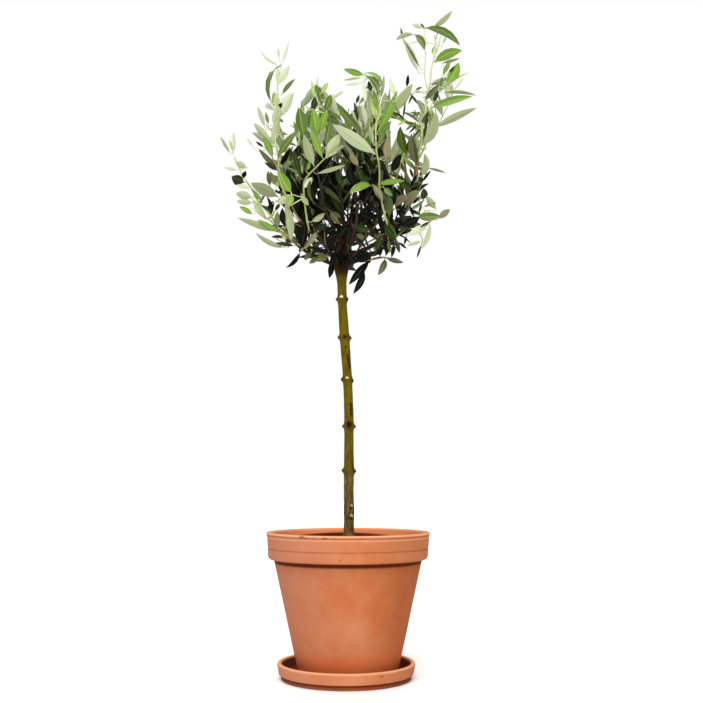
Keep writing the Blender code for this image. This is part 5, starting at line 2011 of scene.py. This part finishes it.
    def twig(self, draw: random.Random, path: Path, distance: float, turn: float,
             share: float) -> Path | None:
        """Grow one side twig that bends upwards, and cut it back to where it has room.

        Args:
            draw: the random numbers of the twigs.
            path: the stem.
            distance: where it leaves the stem.
            turn: degrees round the stem.
            share: how far along the leafy stretch it starts.

        Returns:
            The twig's line, or None if it has no room.
        """
        root, stem = path.at(distance), path.along(distance)
        angle = math.radians(self.twig_angle + draw.uniform(-8, 8))
        heading = stem * math.cos(angle) + side_of(stem, turn) * math.sin(angle)
        step = self.twig_length * mix(1.1, 0.6, share) * draw.uniform(0.8, 1.15) / self.twig_steps
        lift = self.twig_lift * self.uplift(root[2]) / self.twig_steps
        points = [root]
        for _ in range(self.twig_steps):
            heading = unit(heading + UP * lift)
            points.append(points[-1] + heading * step)
        while len(points) > 1 and not self.room.holds(np.array(points[1:]), self.own):
            points.pop()
        return self.add_shoot(points, self.twig_radii, share) if len(points) > 1 else None

    def uplift(self, height: float) -> float:
        """Return 1 where growth turns up, and 0 low in the crown, where it hangs."""
        return float(smooth((height - self.droop_below + self.droop_range) / self.droop_range))

    def add_shoot(self, points: list[Array], radii: Pair, age: float) -> Path:
        """Keep a twig as a smooth shoot.

        Args:
            points: its line.
            radii: at its foot and at its tip.
            age: 0 for the oldest wood and 1 for the youngest, at its foot.

        Returns:
            Its smooth line.
        """
        line = eased(Path(np.array(points)).evenly(14))
        share = np.linspace(0.0, 1.0, 14)
        self.shoots.append((line, mix(*radii, share), mix(age, 1.0, 0.3 + 0.7 * share)))
        return Path(line)

    def sprigs(self, line: Path, first: float = 0.35) -> None:
        """Grow short sprigs with small leaves from a line's nodes.

        Args:
            line: the line.
            first: share of it before the first sprig.
        """
        draw = self.draw
        distance = first * line.length
        turn = draw.uniform(0, 360)
        while distance < 0.88 * line.length:
            root, stem = line.at(distance), line.along(distance)
            angle = math.radians(draw.uniform(38, 58))
            heading = stem * math.cos(angle) + side_of(stem, turn) * math.sin(angle)
            length = draw.uniform(0.016, 0.034)
            points = [root, root + heading * 0.5 * length,
                      root + unit(heading + self.up_pull * UP) * length]
            turn += GOLDEN_TURN
            distance += draw.uniform(0.014, 0.022)
            if self.room.holds(np.array(points[1:]), self.own):
                sprig = self.add_shoot(points, self.sprig_radii, 0.6)
                self.leaf_pairs(sprig, 0.5 * length, 0.02)

    def leaf_pairs(self, line: Path, first: float, young: float) -> None:
        """Grow opposite leaves at each node, each pair square to the one before it.

        Args:
            line: the shoot.
            first: distance of the first node.
            young: length of the shoot's end whose leaves get smaller.
        """
        draw = self.draw
        turn = draw.uniform(0, 90)
        spray = draw.gauss(0.0, 0.18)
        distance, end = first, line.length
        while distance < end - 0.35 * self.node_spacing:
            near_tip = float(smooth((distance - end + min(young, 0.05)) / 0.05))
            for face in (0.0, 180.0):
                self.leaf(line, distance, turn + face + draw.uniform(-16, 16), near_tip, spray)
            turn += 90.0
            distance += self.node_spacing * draw.uniform(0.82, 1.22)
        for face in (0.0, 180.0):
            self.leaf(line, end - 0.001, turn + face, 1.0, spray, 14.0)

    def leaf(self, line: Path, distance: float, turn: float, near_tip: float, spray: float,
             least_angle: float | None = None) -> None:
        """Grow one leaf if it keeps to its room and isn't crowded.

        Its upper side faces the shoot's tip, with a random roll, and low leaves hang.

        Args:
            line: the shoot.
            distance: where it stands on the shoot.
            turn: degrees round the shoot.
            near_tip: 0 on the shoot, 1 at its tip.
            spray: how much brighter or darker this spray is dealt.
            least_angle: angle to the shoot at its tip, in degrees.
        """
        draw = self.draw
        root, stem = line.at(distance), line.along(distance)
        last = self.leaf_angle_near_tip if least_angle is None else least_angle
        upward = stem + self.up_pull * UP
        hang = 1.0 - self.uplift(root[2])
        for attempt in range(self.leaf_attempts):
            side = side_of(stem, turn + attempt * 47.0)
            angle = math.radians(mix(self.leaf_angle, last, near_tip) + draw.uniform(-10, 14))
            direction = stem * math.cos(angle) + side * math.sin(angle)
            direction = unit(direction - UP * hang * draw.uniform(0.0, 1.0))
            facing = unit(upward - direction * float(upward @ direction))
            across = np.cross(facing, direction)
            roll = math.radians(draw.gauss(0.0, self.leaf_roll))
            across = unit(across * math.cos(roll) + facing * math.sin(roll))
            length = self.leaf_length * mix(1.0, 0.74, near_tip) * draw.uniform(0.8, 1.15)
            length *= 0.95 ** attempt
            bend = draw.gauss(0.22, 0.32)
            reach = np.array([root + direction * (length * share) for share in (0.4, 0.7, 1.0)])
            middle = reach[0] + direction * 0.1 * length
            if self.room.is_crowded(middle) or not self.room.holds(reach, self.own):
                continue
            self.room.middles.append(middle)
            self.leaves.append(Leaf(
                root, direction, across, length,
                length / self.leaf_slimness * draw.uniform(0.85, 1.15), bend,
                draw.uniform(0.1, 0.6), draw.gauss(0.0, 0.35), draw.gauss(0.0, 0.05),
                self.tint(middle, spray, near_tip)))
            return

    def tint(self, place: Array, spray: float, near_tip: float) -> Tint:
        """Deal a tint by how high and how far out a leaf stands, its spray and its age.

        Low and inner leaves, most of all in the crown's heart, get darker tints, which are
        painted shade; high and outer ones get brighter tints, which are painted light.

        Args:
            place: the leaf's middle.
            spray: how much brighter or darker its spray is dealt.
            near_tip: 0 on the shoot, 1 at its tip.

        Returns:
            The tint.
        """
        outward = math.hypot(place[0] + 0.004, place[1]) / 0.15
        heart = math.hypot((place[0] - 0.002) / 0.048, (place[2] - 0.622) / 0.052)
        light = (0.95 * float(smooth((place[2] - 0.555) / 0.19)) + 0.3 * (outward - 0.5)
                 + 0.18 * near_tip + spray - 0.24 * float(bell(heart, 1.0)))
        return list(Tint)[int(np.digitize(light, (0.38, 0.56, 0.59, 0.83, 1.05)))]

    def build_leaves(self) -> None:
        """Make one piece of leaves for each tint, in place of all the masses."""
        for tint in Tint:
            surface = LeafShape().surface([leaf for leaf in self.leaves if leaf.tint is tint])
            item = surface.to_object(
                f"leaves_{tint.value.name}", tint.value.materials(), "olive_leaf", 75.0)
            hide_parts(*(f"foliage_{limb.name}" for limb in LIMBS))
        LOG.info("%d leaves", len(self.leaves))

    def build_shoots(self) -> None:
        """Join all stems, twigs and sprigs into one piece, coloured by their age and place.

        They are paler higher up and further out, partly by their age and partly as painted
        light, most of all on the left, the lit side; low wood near the trunk is nearly
        black, partly old bark and partly painted shade.

        Each is a tube of six sides whose radius swells a little at every node.
        """
        surface = Surface()
        for points, radii, age in self.shoots:
            swell = 1.0 + 0.18 * np.abs(np.sin(np.arange(len(points)) * 1.3)) ** 8
            places, faces = tube(points, radii * swell, 6)
            outward = np.hypot(points[:, 0], points[:, 1])
            tender = (0.45 * age + smooth((points[:, 2] - 0.64) / 0.13)
                      + 0.35 * np.clip((outward - 0.09) / 0.06, 0.0, 1.0)
                      + np.where(points[:, 0] < 0.0, 0.62, 0.4)
                      * np.clip((np.abs(points[:, 0]) - 0.042) / 0.04, 0.0, 1.0))
            slot = np.digitize(tender[:-1], (0.42, 0.78, 1.2))
            surface.add(places, faces, [np.repeat(slot, 6), int(slot[-1])])
        item = surface.to_object("shoots", [bark.material() for bark in Bark], "bough_bark")
        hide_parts(*(f"foliage_{limb.name}" for limb in LIMBS))

    def build_boughs(self) -> None:
        """Join the boughs into one piece with the bark's relief.

        Each bough is a tube from inside the trunk, with a collar where it leaves it:
        radius times (1 + 0.75 bell) plus stretched noise.
        """
        surface = Surface()
        for index, (limb, path) in enumerate(zip(LIMBS, self.paths)):
            end = limb.bare * path.length if limb.bare else 0.012
            distances = np.linspace(0.0, end, max(8, round(end / 0.0012)))
            points = path.at(distances)
            inward = self.trunk.axis(limb.start)
            points = np.vstack((mix(inward, points[0], 0.35), mix(inward, points[0], 0.7), points))
            distances = np.concatenate(((-0.005, -0.0025), distances))
            foot = 0.0025 if limb.bare else 0.0019
            radii = mix(foot, 0.0018, np.clip(distances / end, 0.0, 1.0))
            radii = radii * (1.0 + 0.75 * bell(np.maximum(distances, 0.0), 0.0045))
            even = tube(points, radii, self.bough_sides)[0]
            relief = (0.00022 * lattice_noise(even, 0.0022, 51 + index)
                      + 0.0003 * lattice_noise(even, 0.007, 52 + index))
            relief[-2:] *= 0.3
            surface.add(*tube(points, radii[:, None] + relief, self.bough_sides))
        bark = BOUGH_BARK.material("olive_bough_bark")
        item = surface.to_object("boughs_bark", [bark], "bough_bark", 70.0)
        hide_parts(*(f"bough_{limb.name}" for limb in LIMBS if limb.bare))


# ---- studio ----
@dataclass
class Studio:
    """A plain pale floor, soft light from above and in front, and the camera."""

    lens: float = 53.56
    tilt: float = 6.76
    floor_radius: float = 9.0
    floor_height: float = -0.0004
    floor_corners: int = 96

    def build(self) -> None:
        """Place the camera, the floor, the lights and the pale surroundings."""
        scene = bpy.context.scene
        scene.view_settings.view_transform = "Standard"
        view = bpy.data.cameras.new("camera")
        view.lens = self.lens
        camera = placed("camera", view)
        camera.location = VIEW.eye
        camera.rotation_euler = (math.radians(90.0 + self.tilt), 0.0, 0.0)
        scene.camera = camera
        self.floor()
        self.sun("key", 2.5, 46.0, (48.0, 0.0, -9.0), "#FFFBF4")
        self.sun("fill", 0.75, 80.0, (66.0, 0.0, 30.0), "#F6F9FF")
        self.sun("top", 1.2, 60.0, (-22.0, 0.0, 8.0), "#FFFFFF")
        self.surroundings()

    def floor(self) -> None:
        """Lay a round pale floor under the saucer."""
        places = self.floor_radius * circle(self.floor_corners) + UP * self.floor_height
        mesh = bpy.data.meshes.new("studio_floor")
        mesh.from_pydata(places.tolist(), [], [list(range(self.floor_corners))])
        mesh.materials.append(new_material("matt_white_paper", base_color=linear("#FDFDFD"),
                                           roughness=0.9))
        item = placed("studio_floor", mesh)

    def sun(self, name: str, strength: float, spread: float,
            turn: Triple, colour: str) -> None:
        """Add a wide soft light that reaches everything evenly.

        Args:
            name: its name.
            strength: its light, in watts on each square metre.
            spread: how wide it is, in degrees.
            turn: its rotation in degrees.
            colour: its colour.
        """
        light = bpy.data.lights.new(name, "SUN")
        light.energy = strength
        light.angle = math.radians(spread)
        light.color = linear(colour)[:3]
        placed(name, light).rotation_euler = [math.radians(angle) for angle in turn]

    def surroundings(self) -> None:
        """Make the surroundings white to look at, and a softer light on the plant."""
        world = bpy.data.worlds.new("studio")
        world.use_nodes = True
        tree = world.node_tree
        tree.nodes.clear()
        ray = add_node(tree, "ShaderNodeLightPath").outputs["Is Camera Ray"]
        strength = add_node(tree, "ShaderNodeMapRange", {"Value": ray, "To Min": 0.42})
        back = add_node(tree, "ShaderNodeBackground", {"Color": "#FFFFFF", "Strength": strength})
        add_node(tree, "ShaderNodeOutputWorld", {"Surface": back})
        bpy.context.scene.world = world


def main() -> None:
    """Build the pot with its saucer and soil, the trunk, the crown and the studio."""
    logging.basicConfig(level=logging.INFO, format="%(message)s")
    Saucer().build()
    Pot().build()
    Soil().build()
    trunk = Trunk()
    trunk.build()
    crown = Crown(trunk)
    crown.grow()
    crown.build_boughs()
    crown.build_shoots()
    crown.build_leaves()
    Studio().build()


if __name__ == "__main__":
    main()
